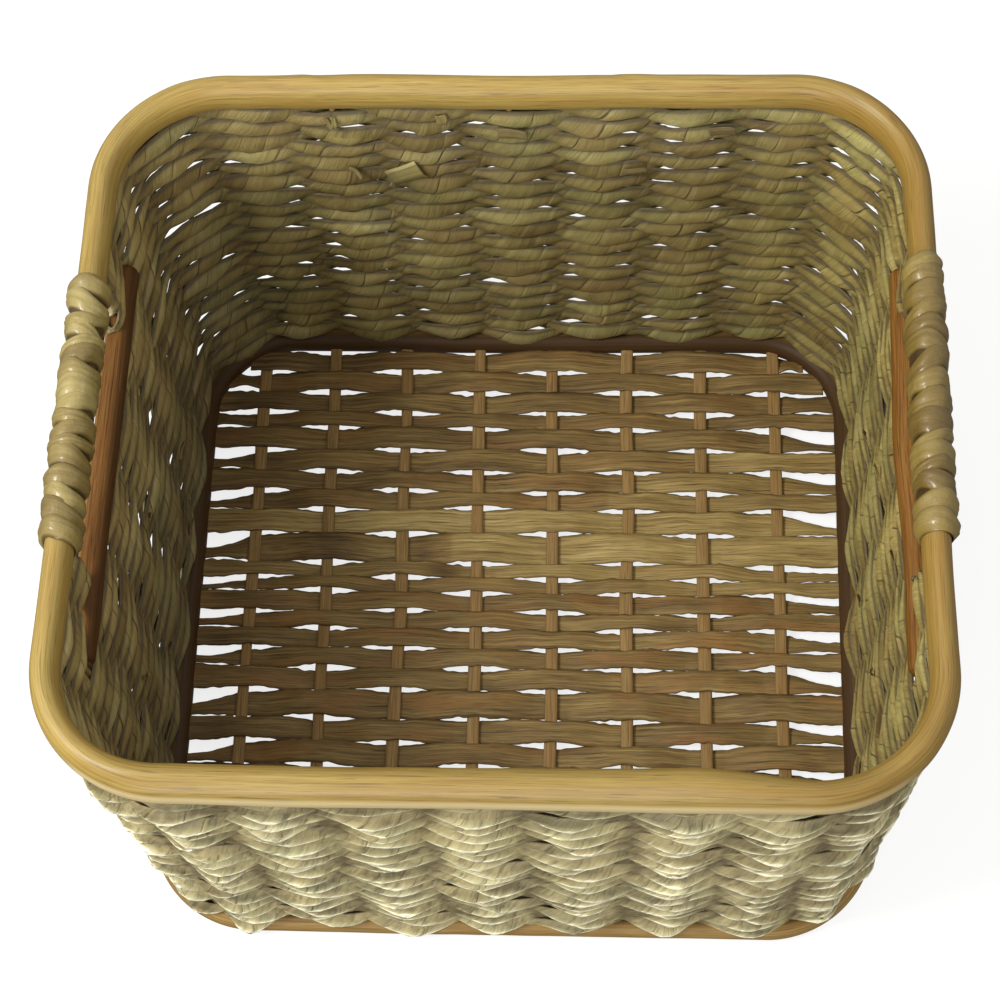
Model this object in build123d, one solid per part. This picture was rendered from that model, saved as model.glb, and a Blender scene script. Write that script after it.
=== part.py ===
from build123d import *
import math
import os

# Seagrass storage basket: a bent rattan rim and base hoop, upright stakes
# between them, a plain weave of seagrass round the stakes, two hand holds
# with a cane bar below a leaf-bound rim, and a floor of cane ribs with wide
# flat splints woven across them.
#
# Frame: millimetres, +X along the long side (hand holds at -X and +X),
# +Y to the back wall, +Z up. Origin on the ground under the basket's centre.

# ---- driving dimensions -------------------------------------------------
RIM_W = 400.0          # rim hoop, centreline size along X
RIM_D = 367.0          # rim hoop, centreline size along Y
RIM_R = 59.0           # rim hoop, centreline corner radius
RIM_A = 6.8            # rim pole half thickness, across the wall
RIM_B = 10.8           # rim pole half height
RIM_Z = 246.0          # rim pole centre height

BASE_W = 371.0         # base hoop, centreline size along X
BASE_D = 350.0         # base hoop, centreline size along Y
BASE_R = 52.0          # base hoop, centreline corner radius
BASE_T = 14.0          # base pole thickness and height
BASE_FILLET = 5.2      # rounding of the base pole's section

WALL_T = 13.0          # thickness of the woven wall
WALL_Z0 = BASE_T       # the weave starts on the base hoop
WALL_Z1 = 235.0        # and ends under the rim pole
WALL_HX0, WALL_HY0, WALL_R0 = 186.0, 175.5, 52.5   # wall mid-line at WALL_Z0
WALL_HX1, WALL_HY1, WALL_R1 = 199.3, 183.1, 58.6   # wall mid-line at WALL_Z1

BAR_R = 7.0            # hand-hold bar radius
BAR_Z = 190.0          # hand-hold bar height
BAR_X = 197.6          # hand-hold bar, distance from the centre plane
BAR_Y0, BAR_Y1 = -104.0, 112.0
HOLE_Y0, HOLE_Y1 = -60.0, 78.0     # hand-hold opening, front and back edge

WRAP_T = 4.4           # build-up of the leaf binding on the rim
LEFT_WRAP = (-70.0, 71.0)
RIGHT_WRAP = (-62.0, 85.0)

STAKE_R = 2.0          # stake radius
STAKE_GAP = 0.06       # room for a stake in the weave

# stake positions along X on the front and the back wall, at the wall's top
FRONT_STAKES = [-142.0, -97.9, -53.6, -8.3, 40.2, 87.3, 131.9]
BACK_STAKES = [-136.0, -91.0, -45.3, -1.0, 45.0, 91.8, 139.4]
# positions along Y on the two side walls
LEFT_STAKES = [-105.7, -66.0, -16.0, 34.0, 84.0]
RIGHT_STAKES = [-106.2, -66.0, -16.0, 34.0, 84.0]
# angles on the corner arcs, from the +X or -X direction
CORNER_STAKES = {
    "front_right": [-59.9, -21.1],
    "back_right": [4.4, 48.0],
    "back_left": [174.7, 130.0],
    "front_left": [-125.4, -161.8],
}

RIB_W = 8.0            # floor rib width
RIB_Z0, RIB_Z1 = 5.7, 8.3
RIB_X = [-150.2, -107.9, -65.6, -23.3, 19.0, 61.3, 103.6, 145.9]

SPLINT_T = 1.5         # floor splint thickness
SPLINT_GAP = 0.9       # mean gap between neighbouring splints
# front and back edges of the splints along Y, from the back wall forward
SPLINT_EDGES = [165.3, 152.9, 139.6, 126.4, 116.6, 102.3, 88.2, 75.4, 64.0,
                48.9, 30.9, 21.6, 12.4, 1.5, -8.8, -20.8, -32.7, -46.3,
                -62.6, -75.9, -89.7, -102.5, -115.6, -128.8, -142.0,
                -154.6, -166.2]

parts = {}


def rounded_loop(w, d, r, z):
    return (Pos(0, 0, z) * RectangleRounded(w, d, r)).face().outer_wire()


def hoop(w, d, r, z, section):
    """One closed pole that follows a rounded rectangle."""
    path = rounded_loop(w, d, r, z)
    start, tangent = path @ 0, path % 0
    side = Vector(0, 0, 1).cross(tangent).normalized()
    plane = Plane(origin=start, x_dir=side, z_dir=tangent)
    return sweep(plane * section, path=path)


# ---- the two hoops --------------------------------------------------------
parts["rim_pole"] = hoop(RIM_W, RIM_D, RIM_R, RIM_Z, Ellipse(RIM_A, RIM_B))
parts["base_frame_pole"] = hoop(BASE_W, BASE_D, BASE_R, BASE_T / 2,
                                RectangleRounded(BASE_T, BASE_T, BASE_FILLET))

# ---- hand-hold bars -------------------------------------------------------
bars = {}
for side, sx in (("left", -1), ("right", 1)):
    length = BAR_Y1 - BAR_Y0
    bar = Plane(origin=(sx * BAR_X, BAR_Y1, BAR_Z), x_dir=(1, 0, 0),
                z_dir=(0, -1, 0)) * Cylinder(BAR_R, length, align=(
                    Align.CENTER, Align.CENTER, Align.MIN))
    bars[side] = bar
    ends = bar.edges().filter_by(GeomType.CIRCLE)
    parts[side + "_handle_bar"] = chamfer(ends, 1.0)

# ---- leaf binding round the rim at the hand holds ---------------------------
for side, sx, (y0, y1) in (("left", -1, LEFT_WRAP), ("right", 1, RIGHT_WRAP)):
    plane = Plane(origin=(sx * RIM_W / 2, y1, RIM_Z), x_dir=(1, 0, 0),
                  z_dir=(0, -1, 0))
    outer = extrude(plane * Ellipse(RIM_A + WRAP_T, RIM_B + WRAP_T), y1 - y0)
    outer = chamfer(outer.edges().filter_by(GeomType.ELLIPSE), 1.6)
    inner = extrude(plane * Ellipse(RIM_A + 0.05, RIM_B + 0.05), y1 - y0)
    parts[side + "_handle_wrap"] = outer - inner

# ---- woven wall -----------------------------------------------------------


def wall_solid(offset):
    low = Pos(0, 0, WALL_Z0) * RectangleRounded(
        2 * (WALL_HX0 + offset), 2 * (WALL_HY0 + offset), WALL_R0 + offset)
    high = Pos(0, 0, WALL_Z1) * RectangleRounded(
        2 * (WALL_HX1 + offset), 2 * (WALL_HY1 + offset), WALL_R1 + offset)
    return loft([low.face(), high.face()], ruled=True)


wall = wall_solid(WALL_T / 2) - wall_solid(-WALL_T / 2)


def block(x0, x1, y0, y1, z0, z1):
    return Pos((x0 + x1) / 2, (y0 + y1) / 2, (z0 + z1) / 2) * Box(
        x1 - x0, y1 - y0, z1 - z0)


def under_wrap(side):
    """Room for the leaf binding where it passes over the wall's top."""
    sx = -1 if side == "left" else 1
    y0, y1 = LEFT_WRAP if side == "left" else RIGHT_WRAP
    x0, x1 = sorted((sx * 180, sx * 225))
    return block(x0, x1, y0 - 0.3, y1 + 0.3,
                 RIM_Z - RIM_B - WRAP_T - 0.1, RIM_Z)


def beside_bar(side):
    """The weave is open on the inner side of the bar, short of its ends."""
    sx = -1 if side == "left" else 1
    x0, x1 = sorted((sx * 170, sx * BAR_X))
    return block(x0, x1, BAR_Y0 + 8, BAR_Y1 - 8,
                 BAR_Z - 0.75 * BAR_R, BAR_Z + 0.75 * BAR_R)


def straight_stake(low, high, radius):
    axis = high - low
    rod = Plane(origin=low, z_dir=axis) * Cylinder(
        radius, axis.length, align=(Align.CENTER, Align.CENTER, Align.MIN))
    return rod & block(-260, 260, -260, 260, WALL_Z0, WALL_Z1)


def stake_ends(kind, value):
    """Foot and top of a stake, run on a little past both."""
    out = []
    for z in (WALL_Z0 - 6, WALL_Z1 + 6):
        t = (z - WALL_Z0) / (WALL_Z1 - WALL_Z0)
        hx = WALL_HX0 + (WALL_HX1 - WALL_HX0) * t
        hy = WALL_HY0 + (WALL_HY1 - WALL_HY0) * t
        r = WALL_R0 + (WALL_R1 - WALL_R0) * t
        f = (hx - r) / (WALL_HX1 - WALL_R1)
        g = (hy - r) / (WALL_HY1 - WALL_R1)
        if kind == "front":
            out.append(Vector(value * f, -hy, z))
        elif kind == "back":
            out.append(Vector(value * f, hy, z))
        elif kind == "left":
            out.append(Vector(-hx, value * g, z))
        elif kind == "right":
            out.append(Vector(hx, value * g, z))
        else:
            a = math.radians(value)
            cx = (hx - r) * (1 if "right" in kind else -1)
            cy = (hy - r) * (1 if "back" in kind else -1)
            out.append(Vector(cx + r * math.cos(a), cy + r * math.sin(a), z))
    return out


stake_groups = {"front": [("front", v) for v in FRONT_STAKES],
                "back": [("back", v) for v in BACK_STAKES],
                "left": [("left", v) for v in LEFT_STAKES],
                "right": [("right", v) for v in RIGHT_STAKES],
                "corner": [(k, a) for k, l in CORNER_STAKES.items() for a in l]}

channels = {}
for group, stakes in stake_groups.items():
    solids, cuts = [], []
    for kind, value in stakes:
        low, high = stake_ends(kind, value)
        rod = straight_stake(low, high, STAKE_R)
        cut = straight_stake(low, high, STAKE_R + STAKE_GAP)
        if group in ("left", "right"):
            sx = -1 if group == "left" else 1
            gap = Plane(origin=(sx * BAR_X, BAR_Y1, BAR_Z), x_dir=(1, 0, 0),
                        z_dir=(0, -1, 0)) * Cylinder(
                            BAR_R + 0.05, BAR_Y1 - BAR_Y0, align=(
                                Align.CENTER, Align.CENTER, Align.MIN))
            rod = rod - gap - under_wrap(group)
            if HOLE_Y0 < value < HOLE_Y1:
                rod = rod & block(-260, 260, -260, 260, WALL_Z0, BAR_Z)
        solids += list(rod.solids())
        cuts.append(cut)
    channels[group] = cuts
    parts[group + "_wall_stakes"] = Compound(children=solids)

FLAT_X = WALL_HX0 - WALL_R0      # half length of the flat front and back walls
FLAT_Y = WALL_HY0 - WALL_R0      # half length of the flat side walls
TOP, LOW = WALL_Z1 + 20, WALL_Z0 - 20


def without(piece, cuts):
    for cut in cuts:
        piece = piece - cut
    return piece


parts["front_wall_weave"] = without(
    wall & block(-FLAT_X, FLAT_X, -300, 0, LOW, TOP),
    channels["front"] + channels["corner"])
parts["back_wall_weave"] = without(
    wall & block(-FLAT_X, FLAT_X, 0, 300, LOW, TOP),
    channels["back"] + channels["corner"])
for side, sx in (("left", -1), ("right", 1)):
    x0, x1 = (-300, 0) if sx < 0 else (0, 300)
    bar_cut = Plane(origin=(sx * BAR_X, BAR_Y1 + 0.5, BAR_Z), x_dir=(1, 0, 0),
                    z_dir=(0, -1, 0)) * Cylinder(
                        BAR_R + 0.05, BAR_Y1 - BAR_Y0 + 1.0, align=(
                            Align.CENTER, Align.CENTER, Align.MIN))
    cuts = channels[side] + channels["corner"] + [
        bar_cut, beside_bar(side), under_wrap(side)]
    parts[side + "_wall_weave"] = without(
        wall & block(x0, x1, -FLAT_Y, FLAT_Y, LOW, BAR_Z), cuts)
    parts[side + "_wall_weave_front_shoulder"] = without(
        wall & block(x0, x1, -FLAT_Y, HOLE_Y0, BAR_Z, TOP), cuts)
    parts[side + "_wall_weave_back_shoulder"] = without(
        wall & block(x0, x1, HOLE_Y1, FLAT_Y, BAR_Z, TOP), cuts)
for name, sx, sy in (("front_left", -1, -1), ("front_right", 1, -1),
                     ("back_left", -1, 1), ("back_right", 1, 1)):
    xa, xb = sorted((sx * FLAT_X, sx * 300))
    ya, yb = sorted((sy * FLAT_Y, sy * 300))
    parts[name + "_corner_weave"] = without(
        wall & block(xa, xb, ya, yb, LOW, TOP),
        channels["corner"] + channels["front"] + channels["back"]
        + channels["left"] + channels["right"])

# ---- floor ------------------------------------------------------------------
INNER_X = (BASE_W - BASE_T) / 2
INNER_Y = (BASE_D - BASE_T) / 2
INNER_R = BASE_R - BASE_T / 2
floor_room = Pos(0, 0, BASE_T / 2) * extrude(
    RectangleRounded(2 * INNER_X - 0.1, 2 * INNER_Y - 0.1, INNER_R - 0.05),
    BASE_T / 2, both=True)

for i, x in enumerate(RIB_X, 1):
    rib = block(x - RIB_W / 2, x + RIB_W / 2, -INNER_Y - 5, INNER_Y + 5,
                RIB_Z0, RIB_Z1)
    rib = fillet(rib.edges().filter_by(Axis.Y), 0.8)
    parts[f"floor_rib_{i}"] = rib & floor_room


def splint_profile(over_even):
    """Mid-line heights of a splint that goes over and under the ribs."""
    mid = (RIB_Z0 + RIB_Z1) / 2
    rise = (RIB_Z1 - RIB_Z0) / 2 + SPLINT_T / 2 + 0.08
    flat = RIB_W / 2 + 1.5
    pts = [(-INNER_X - 6, mid)]
    for i, x in enumerate(RIB_X, 1):
        up = (i % 2 == 0) == over_even
        z = mid + rise if up else mid - rise
        pts += [(x - flat, z), (x + flat, z)]
    pts.append((INNER_X + 6, mid))
    return pts


for j in range(len(SPLINT_EDGES) - 1):
    y_back = SPLINT_EDGES[j] - SPLINT_GAP / 2
    y_front = SPLINT_EDGES[j + 1] + SPLINT_GAP / 2
    # the first boundary seen from the back is a slit at the even ribs
    pts = splint_profile(over_even=(j % 2 == 1))
    top = [(x, z + SPLINT_T / 2) for x, z in pts]
    bottom = [(x, z - SPLINT_T / 2) for x, z in reversed(pts)]
    outline = Plane(origin=(0, y_back, 0), x_dir=(1, 0, 0),
                    z_dir=(0, -1, 0)) * make_face(
                        Polyline(*(top + bottom), close=True))
    splint = extrude(outline, y_back - y_front)
    parts[f"floor_splint_{j + 1:02d}"] = splint & floor_room

# ---- write ------------------------------------------------------------------
os.makedirs("parts", exist_ok=True)
for old in os.listdir("parts"):
    if old.endswith(".step") and old[:-5] not in parts:
        os.remove(os.path.join("parts", old))
for name, shape in parts.items():
    export_step(shape, f"parts/{name}.step")
print(len(parts), "nodes")
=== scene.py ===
import math

import bpy
import numpy as np
from mathutils import Matrix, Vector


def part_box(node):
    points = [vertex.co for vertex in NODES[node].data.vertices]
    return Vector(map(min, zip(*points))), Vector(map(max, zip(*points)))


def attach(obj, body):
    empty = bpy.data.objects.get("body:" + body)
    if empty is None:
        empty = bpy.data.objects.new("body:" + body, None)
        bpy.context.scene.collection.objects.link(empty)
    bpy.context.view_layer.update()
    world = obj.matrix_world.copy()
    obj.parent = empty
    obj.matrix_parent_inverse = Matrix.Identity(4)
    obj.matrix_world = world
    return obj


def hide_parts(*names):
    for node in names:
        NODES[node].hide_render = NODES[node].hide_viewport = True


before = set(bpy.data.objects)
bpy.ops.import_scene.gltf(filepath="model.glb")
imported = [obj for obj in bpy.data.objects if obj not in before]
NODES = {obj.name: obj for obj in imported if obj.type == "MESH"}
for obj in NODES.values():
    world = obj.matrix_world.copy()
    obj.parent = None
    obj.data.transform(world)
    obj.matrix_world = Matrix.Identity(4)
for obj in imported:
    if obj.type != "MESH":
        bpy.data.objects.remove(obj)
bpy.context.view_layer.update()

MM = 0.001


def cad(node):
    lo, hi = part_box(node)
    return np.array(lo) * 1000.0, np.array(hi) * 1000.0


# ---------------------------------------------------------------------------
# frame dimensions, read back from the CAD nodes (millimetres)
# ---------------------------------------------------------------------------
lo, hi = cad("rim_pole")
RIM_A, RIM_B = 6.8, 10.8
RIM_HX, RIM_HY = (hi[0] - lo[0]) / 2 - RIM_A, (hi[1] - lo[1]) / 2 - RIM_A
RIM_Z, RIM_R = (lo[2] + hi[2]) / 2, 59.0
lo, hi = cad("base_frame_pole")
BASE_T = hi[2] - lo[2]
BASE_HX, BASE_HY, BASE_R = (hi[0] - BASE_T / 2), (hi[1] - BASE_T / 2), 52.0

WZ0, WZ1 = 14.0, 235.0
HX0, HY0, R0 = 186.0, 175.5, 52.5
HX1, HY1, R1 = 199.3, 183.1, 58.6
FX, FY = HX1 - R1, HY1 - R1
ARC = math.pi / 2 * R1
SEG = np.array([2 * FX, ARC, 2 * FY, ARC, 2 * FX, ARC, 2 * FY, ARC])
S_END = np.cumsum(SEG)
S_START = S_END - SEG
PERIM = float(S_END[-1])

FRONT = [-142.0, -97.9, -53.6, -8.3, 40.2, 87.3, 131.9]
BACK = [139.4, 91.8, 45.0, -1.0, -45.3, -91.0, -136.0]
STAKES = ([x + FX for x in FRONT]
          + [S_START[1] + ARC * (a + 90) / 90 for a in (-59.9, -21.1)]
          + [S_START[2] + y + FY for y in (-106.2, -66.0, -16.0, 34.0, 84.0)]
          + [S_START[3] + ARC * a / 90 for a in (4.4, 48.0)]
          + [S_START[4] + FX - x for x in BACK]
          + [S_START[5] + ARC * (a - 90) / 90 for a in (130.0, 174.7)]
          + [S_START[6] + FY - y for y in (84.0, 34.0, -16.0, -66.0, -105.7)]
          + [S_START[7] + ARC * (a - 180) / 90 for a in (198.2, 234.6)])
STAKES = np.array(STAKES)
NS = len(STAKES)
I_RIGHT_FRONT, I_RIGHT_BACK = 10, 13      # stakes that edge the right hand hold
I_LEFT_BACK, I_LEFT_FRONT = 25, 28        # and the left one

COURSES = 36
PITCH_Z = (WZ1 - WZ0) / COURSES
FIRST_SPLIT = 29                          # first course broken by the hand holds
A_OUT, A_IN = 4.5, 2.9                    # weave's swing to the outside and to the inside
T_OUT, T_IN = 1.2, 1.6                    # strand half thickness there


def stake_phase(u):
    u0 = STAKES[0]
    laps = np.floor((u - u0) / PERIM)
    loc = u - laps * PERIM
    return np.interp(loc, np.append(STAKES, u0 + PERIM), np.arange(NS + 1)) + laps * NS


def plan(u, z, off):
    """Point of the wall's plan curve and its outward normal; u is the length along the top."""
    u = np.mod(u, PERIM)
    z = np.broadcast_to(z, u.shape).astype(float)
    off = np.broadcast_to(off, u.shape).astype(float)
    i = np.clip(np.searchsorted(S_END, u, side="right"), 0, 7)
    f = (u - S_START[i]) / SEG[i]
    t = (z - WZ0) / (WZ1 - WZ0)
    hx, hy, r = HX0 + (HX1 - HX0) * t, HY0 + (HY1 - HY0) * t, R0 + (R1 - R0) * t
    fx, fy = hx - r, hy - r
    x, y = np.zeros_like(u), np.zeros_like(u)
    nx, ny = np.zeros_like(u), np.zeros_like(u)
    for seg in range(8):
        m = i == seg
        if not m.any():
            continue
        ff, o = f[m], off[m]
        if seg == 0:
            x[m], y[m], nx[m], ny[m] = fx[m] * (2 * ff - 1), -hy[m] - o, 0, -1
        elif seg == 2:
            x[m], y[m], nx[m], ny[m] = hx[m] + o, fy[m] * (2 * ff - 1), 1, 0
        elif seg == 4:
            x[m], y[m], nx[m], ny[m] = fx[m] * (1 - 2 * ff), hy[m] + o, 0, 1
        elif seg == 6:
            x[m], y[m], nx[m], ny[m] = -hx[m] - o, fy[m] * (1 - 2 * ff), -1, 0
        else:
            a = np.radians({1: -90, 3: 0, 5: 90, 7: 180}[seg] + 90 * ff)
            sx = 1 if seg in (1, 3) else -1
            sy = 1 if seg in (3, 5) else -1
            x[m] = sx * fx[m] + (r[m] + o) * np.cos(a)
            y[m] = sy * fy[m] + (r[m] + o) * np.sin(a)
            nx[m], ny[m] = np.cos(a), np.sin(a)
    return np.stack([x, y, z], 1), np.stack([nx, ny, np.zeros_like(nx)], 1)


def norm(v):
    return v / np.maximum(np.linalg.norm(v, axis=-1, keepdims=True), 1e-9)


def smooth_noise(rng, x, step, lap=None):
    """Smooth random curve of about unit size along x, periodic over lap if given."""
    if lap:
        n = max(3, int(round(lap / step)))
        v = rng.standard_normal(n)
        q = np.mod(x, lap) / lap * n
    else:
        q = (x - x.min()) / step
        v = rng.standard_normal(int(q.max()) + 3)
        n = len(v)
    i = np.floor(q).astype(int)
    f = q - i
    f = f * f * (3 - 2 * f)
    return v[i % n] * (1 - f) + v[(i + 1) % n] * f


# ---------------------------------------------------------------------------
# mesh making
# ---------------------------------------------------------------------------
def make_object(name, verts, faces, uv=None, tone=None, material=None, smooth=True):
    """verts in mm; uv and tone are per face corner."""
    me = bpy.data.meshes.new(name)
    verts = np.asarray(verts, dtype=np.float64) * MM
    me.from_pydata(verts.tolist(), [], faces)
    if uv is not None:
        layer = me.uv_layers.new(name="strand")
        layer.data.foreach_set("uv", np.asarray(uv, dtype=np.float32).ravel())
    if tone is not None:
        layer = me.color_attributes.new("tone", "FLOAT_COLOR", "CORNER")
        layer.data.foreach_set("color", np.asarray(tone, dtype=np.float32).ravel())
    if smooth:
        me.polygons.foreach_set("use_smooth", [True] * len(me.polygons))
    me.update()
    ob = bpy.data.objects.new(name, me)
    bpy.context.scene.collection.objects.link(ob)
    if material is not None:
        me.materials.append(material)
    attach(ob, "root")
    return ob


class Bag:
    """Collects faces with their corner data before they become one mesh."""

    def __init__(self):
        self.v, self.f, self.uv, self.tone, self.n = [], [], [], [], 0

    def add(self, verts, faces, uv, tone):
        self.v.append(verts)
        self.f += [tuple(int(i) + self.n for i in face) for face in faces]
        self.uv.append(uv)
        self.tone.append(tone)
        self.n += len(verts)

    def build(self, name, material):
        return make_object(name, np.concatenate(self.v), self.f, np.concatenate(self.uv),
                           np.concatenate(self.tone), material)


TG = np.array([0.0, 0.025, 0.25, 0.5, 0.75, 0.975])   # ring places across one turn of leaf
TH = np.array([-0.30, -0.27, -0.06, 0.08, 0.20, 0.30])  # how far the leaf lifts there
# section places, closest together at the strand's lower fold
ANG = np.array([0.0, 0.085, 0.17, 0.25, 0.33, 0.415, 0.5, 0.585, 0.665, 0.725, 0.768, 0.83, 0.915])


def strand(bag, rng, length, closed, where, pitch=18.5, lift=0.8, jitter=0.3, kink=0.55):
    """A strand made of one leaf wound helically. where(l) gives P, N, B, half thickness,
    half height, tone 0..1 and side for places l along it; N is the face's normal."""
    turns = max(2, int(round(length / pitch)))
    d = np.clip(1 + jitter * rng.standard_normal(turns), 0.45, 1.7)
    knots = np.concatenate([[0], np.cumsum(d)])
    knots *= length / knots[-1]
    m = len(TG)
    n = len(ANG)
    last = turns if closed else turns - 1
    T = (np.arange(last)[:, None] + TG[None, :]).ravel()
    adv = ANG - 0.015 * np.sin(4 * np.pi * ANG)   # the leaf crosses the flat faces a little more steeply
    t_lift = np.tile(TH, last)
    if not closed:
        T = np.append(T, last)
        t_lift = np.append(t_lift, TH[0])
    th = ANG
    TT = T[:, None] + adv[None, :]

    def along(q):
        if closed:
            lap = np.floor(q / turns)
            return np.interp(q - lap * turns, np.arange(turns + 1), knots) + lap * length
        return np.interp(q, np.arange(turns + 1), knots)
    L = along(TT)
    step = np.clip(0.75 + 0.5 * rng.standard_normal(turns + 2), 0.15, 1.7) * lift
    turn_of = np.floor(T + 1e-6).astype(int)
    amp = step[turn_of % (turns if closed else turns + 2)]
    shape = L.shape
    P, N, B, ht, hh, tone, side, NO = where(L.ravel())
    ang = (2 * np.pi * th)[None, :]
    c, s = np.cos(ang), np.sin(ang)
    ca = np.sign(c) * np.abs(c) ** 0.70
    sa = np.sign(s) * np.abs(s) ** 0.90
    rise = (t_lift * amp)[:, None]
    ht = ht.reshape(shape) + rise * 0.85
    hh = hh.reshape(shape) + rise * 0.9
    P = P.reshape(shape + (3,))
    # stiff leaf: nearly straight between the folds, bent at them
    bent = []
    for shift in (0.0, 0.5):
        j0 = np.floor(TT - shift)
        fr = (TT - shift - j0)[..., None]
        a0 = where(along(np.clip(j0 + shift, 0, None) if not closed else j0 + shift).ravel())[0].reshape(shape + (3,))
        a1 = where(along(np.clip(j0 + 1 + shift, None, turns) if not closed else j0 + 1 + shift).ravel())[0].reshape(shape + (3,))
        bent.append(a0 * (1 - fr) + a1 * fr)
    face = (0.5 + 0.5 * c)[..., None]
    P = P * (1 - kink) + kink * (bent[0] * face + bent[1] * (1 - face))
    N = N.reshape(shape + (3,))
    B = B.reshape(shape + (3,))
    thin = 1 - 0.62 * np.clip(-s, 0, 1) ** 2 - 0.30 * np.clip(s, 0, 1) ** 2
    V = P + N * (ht * ca * thin)[..., None] + B * (hh * sa)[..., None]
    rows = len(T)
    V = V.reshape(-1, 3)
    tone = tone.reshape(shape)
    NO = NO.reshape(shape + (3,))
    sgn = np.sign((N * NO).sum(-1))
    deep = side.reshape(shape) + ((V.reshape(shape + (3,)) - P) * NO).sum(-1)
    deep = np.clip((deep + 10.0) / 20.0, 0, 1)      # place through the wall's thickness
    faces_out = np.clip(0.5 + 1.6 * c * sgn, 0, 1)
    fold = 0.78 if sgn.mean() > 0 else 0.72
    turn_tone = rng.random(turns + 2)

    faces, uv, tn = [], [], []
    quads = rows if closed else rows - 1
    for a in range(quads):
        k = a // m
        t0 = TG[a % m]
        t1 = TG[a % m + 1] if a % m + 1 < m else 1.0
        tt = turn_tone[k]
        for i in range(n):
            a1 = a + 1
            if i + 1 < n:
                q = (a * n + i, a1 % rows * n + i if closed else a1 * n + i,
                     a1 % rows * n + i + 1 if closed else a1 * n + i + 1, a * n + i + 1)
                qa = (a, a1 % rows if closed else a1)
            else:
                b0, b1 = a + m, a1 + m
                if closed:
                    b0, b1 = b0 % rows, b1 % rows
                elif b1 > rows - 1:
                    continue
                q = (a * n + i, (a1 % rows if closed else a1) * n + i, b1 * n, b0 * n)
            faces.append(q)
            v0, v1 = k + ANG[i], k + (ANG[i + 1] if i + 1 < n else 1.0)
            uv += [(v0, t0), (v0, t1), (v1, t1), (v1, t0)]
            tv = tone[a, i]
            for vi in (q[0], q[1], q[2], q[3]):
                ra, ia = divmod(vi, n)
                tn.append((tt, tv, faces_out[ra, ia], deep[ra, ia]))
    if not closed:
        # close both ends with a fan
        ends = []
        start = [i for i in range(n)] + [m * n - 0 if False else m * n]
        start += [a * n for a in range(m - 1, 0, -1)]
        ends.append((start, False))
        top = rows - 1
        fin = [top * n + i for i in range(n - 1, -1, -1)]
        back = [(top - m + j) * n + n - 1 for j in range(1, m)]
        fin2 = [top * n + 0] + [top * n + i for i in range(1, n)]
        loop = fin2 + [(a) * n + n - 1 for a in range(top - 1, top - m - 1, -1)]
        ends.append((loop, True))
        extra = []
        for loop_, flip in ends:
            cpt = V[loop_].mean(0)
            ci = len(V) + len(extra)
            extra.append(cpt)
            for a_, b_ in zip(loop_, loop_[1:] + loop_[:1]):
                faces.append((ci, b_, a_) if not flip else (ci, b_, a_))
                uv += [(0, 0.5)] * 3
                tn += [(0.5, 0.4, 0.2, 0.5)] * 3
        V = np.concatenate([V, np.array(extra)])
    bag.add(V, faces, np.array(uv), np.array(tn))


def ribbon_faces(rows, cols, closed_rows=False, closed_cols=True):
    f = []
    for a in range(rows if closed_rows else rows - 1):
        b = (a + 1) % rows
        for i in range(cols if closed_cols else cols - 1):
            j = (i + 1) % cols
            f.append((a * cols + i, a * cols + j, b * cols + j, b * cols + i))
    return f


def tube_uv(us, vs, closed_rows=False):
    """Corner UVs for ribbon_faces with closed columns; us has rows(+1) entries, vs cols+1."""
    out = []
    rows = len(us) - 1
    for a in range(rows):
        for i in range(len(vs) - 1):
            out += [(us[a], vs[i]), (us[a], vs[i + 1]), (us[a + 1], vs[i + 1]), (us[a + 1], vs[i])]
    return np.array(out)


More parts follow.
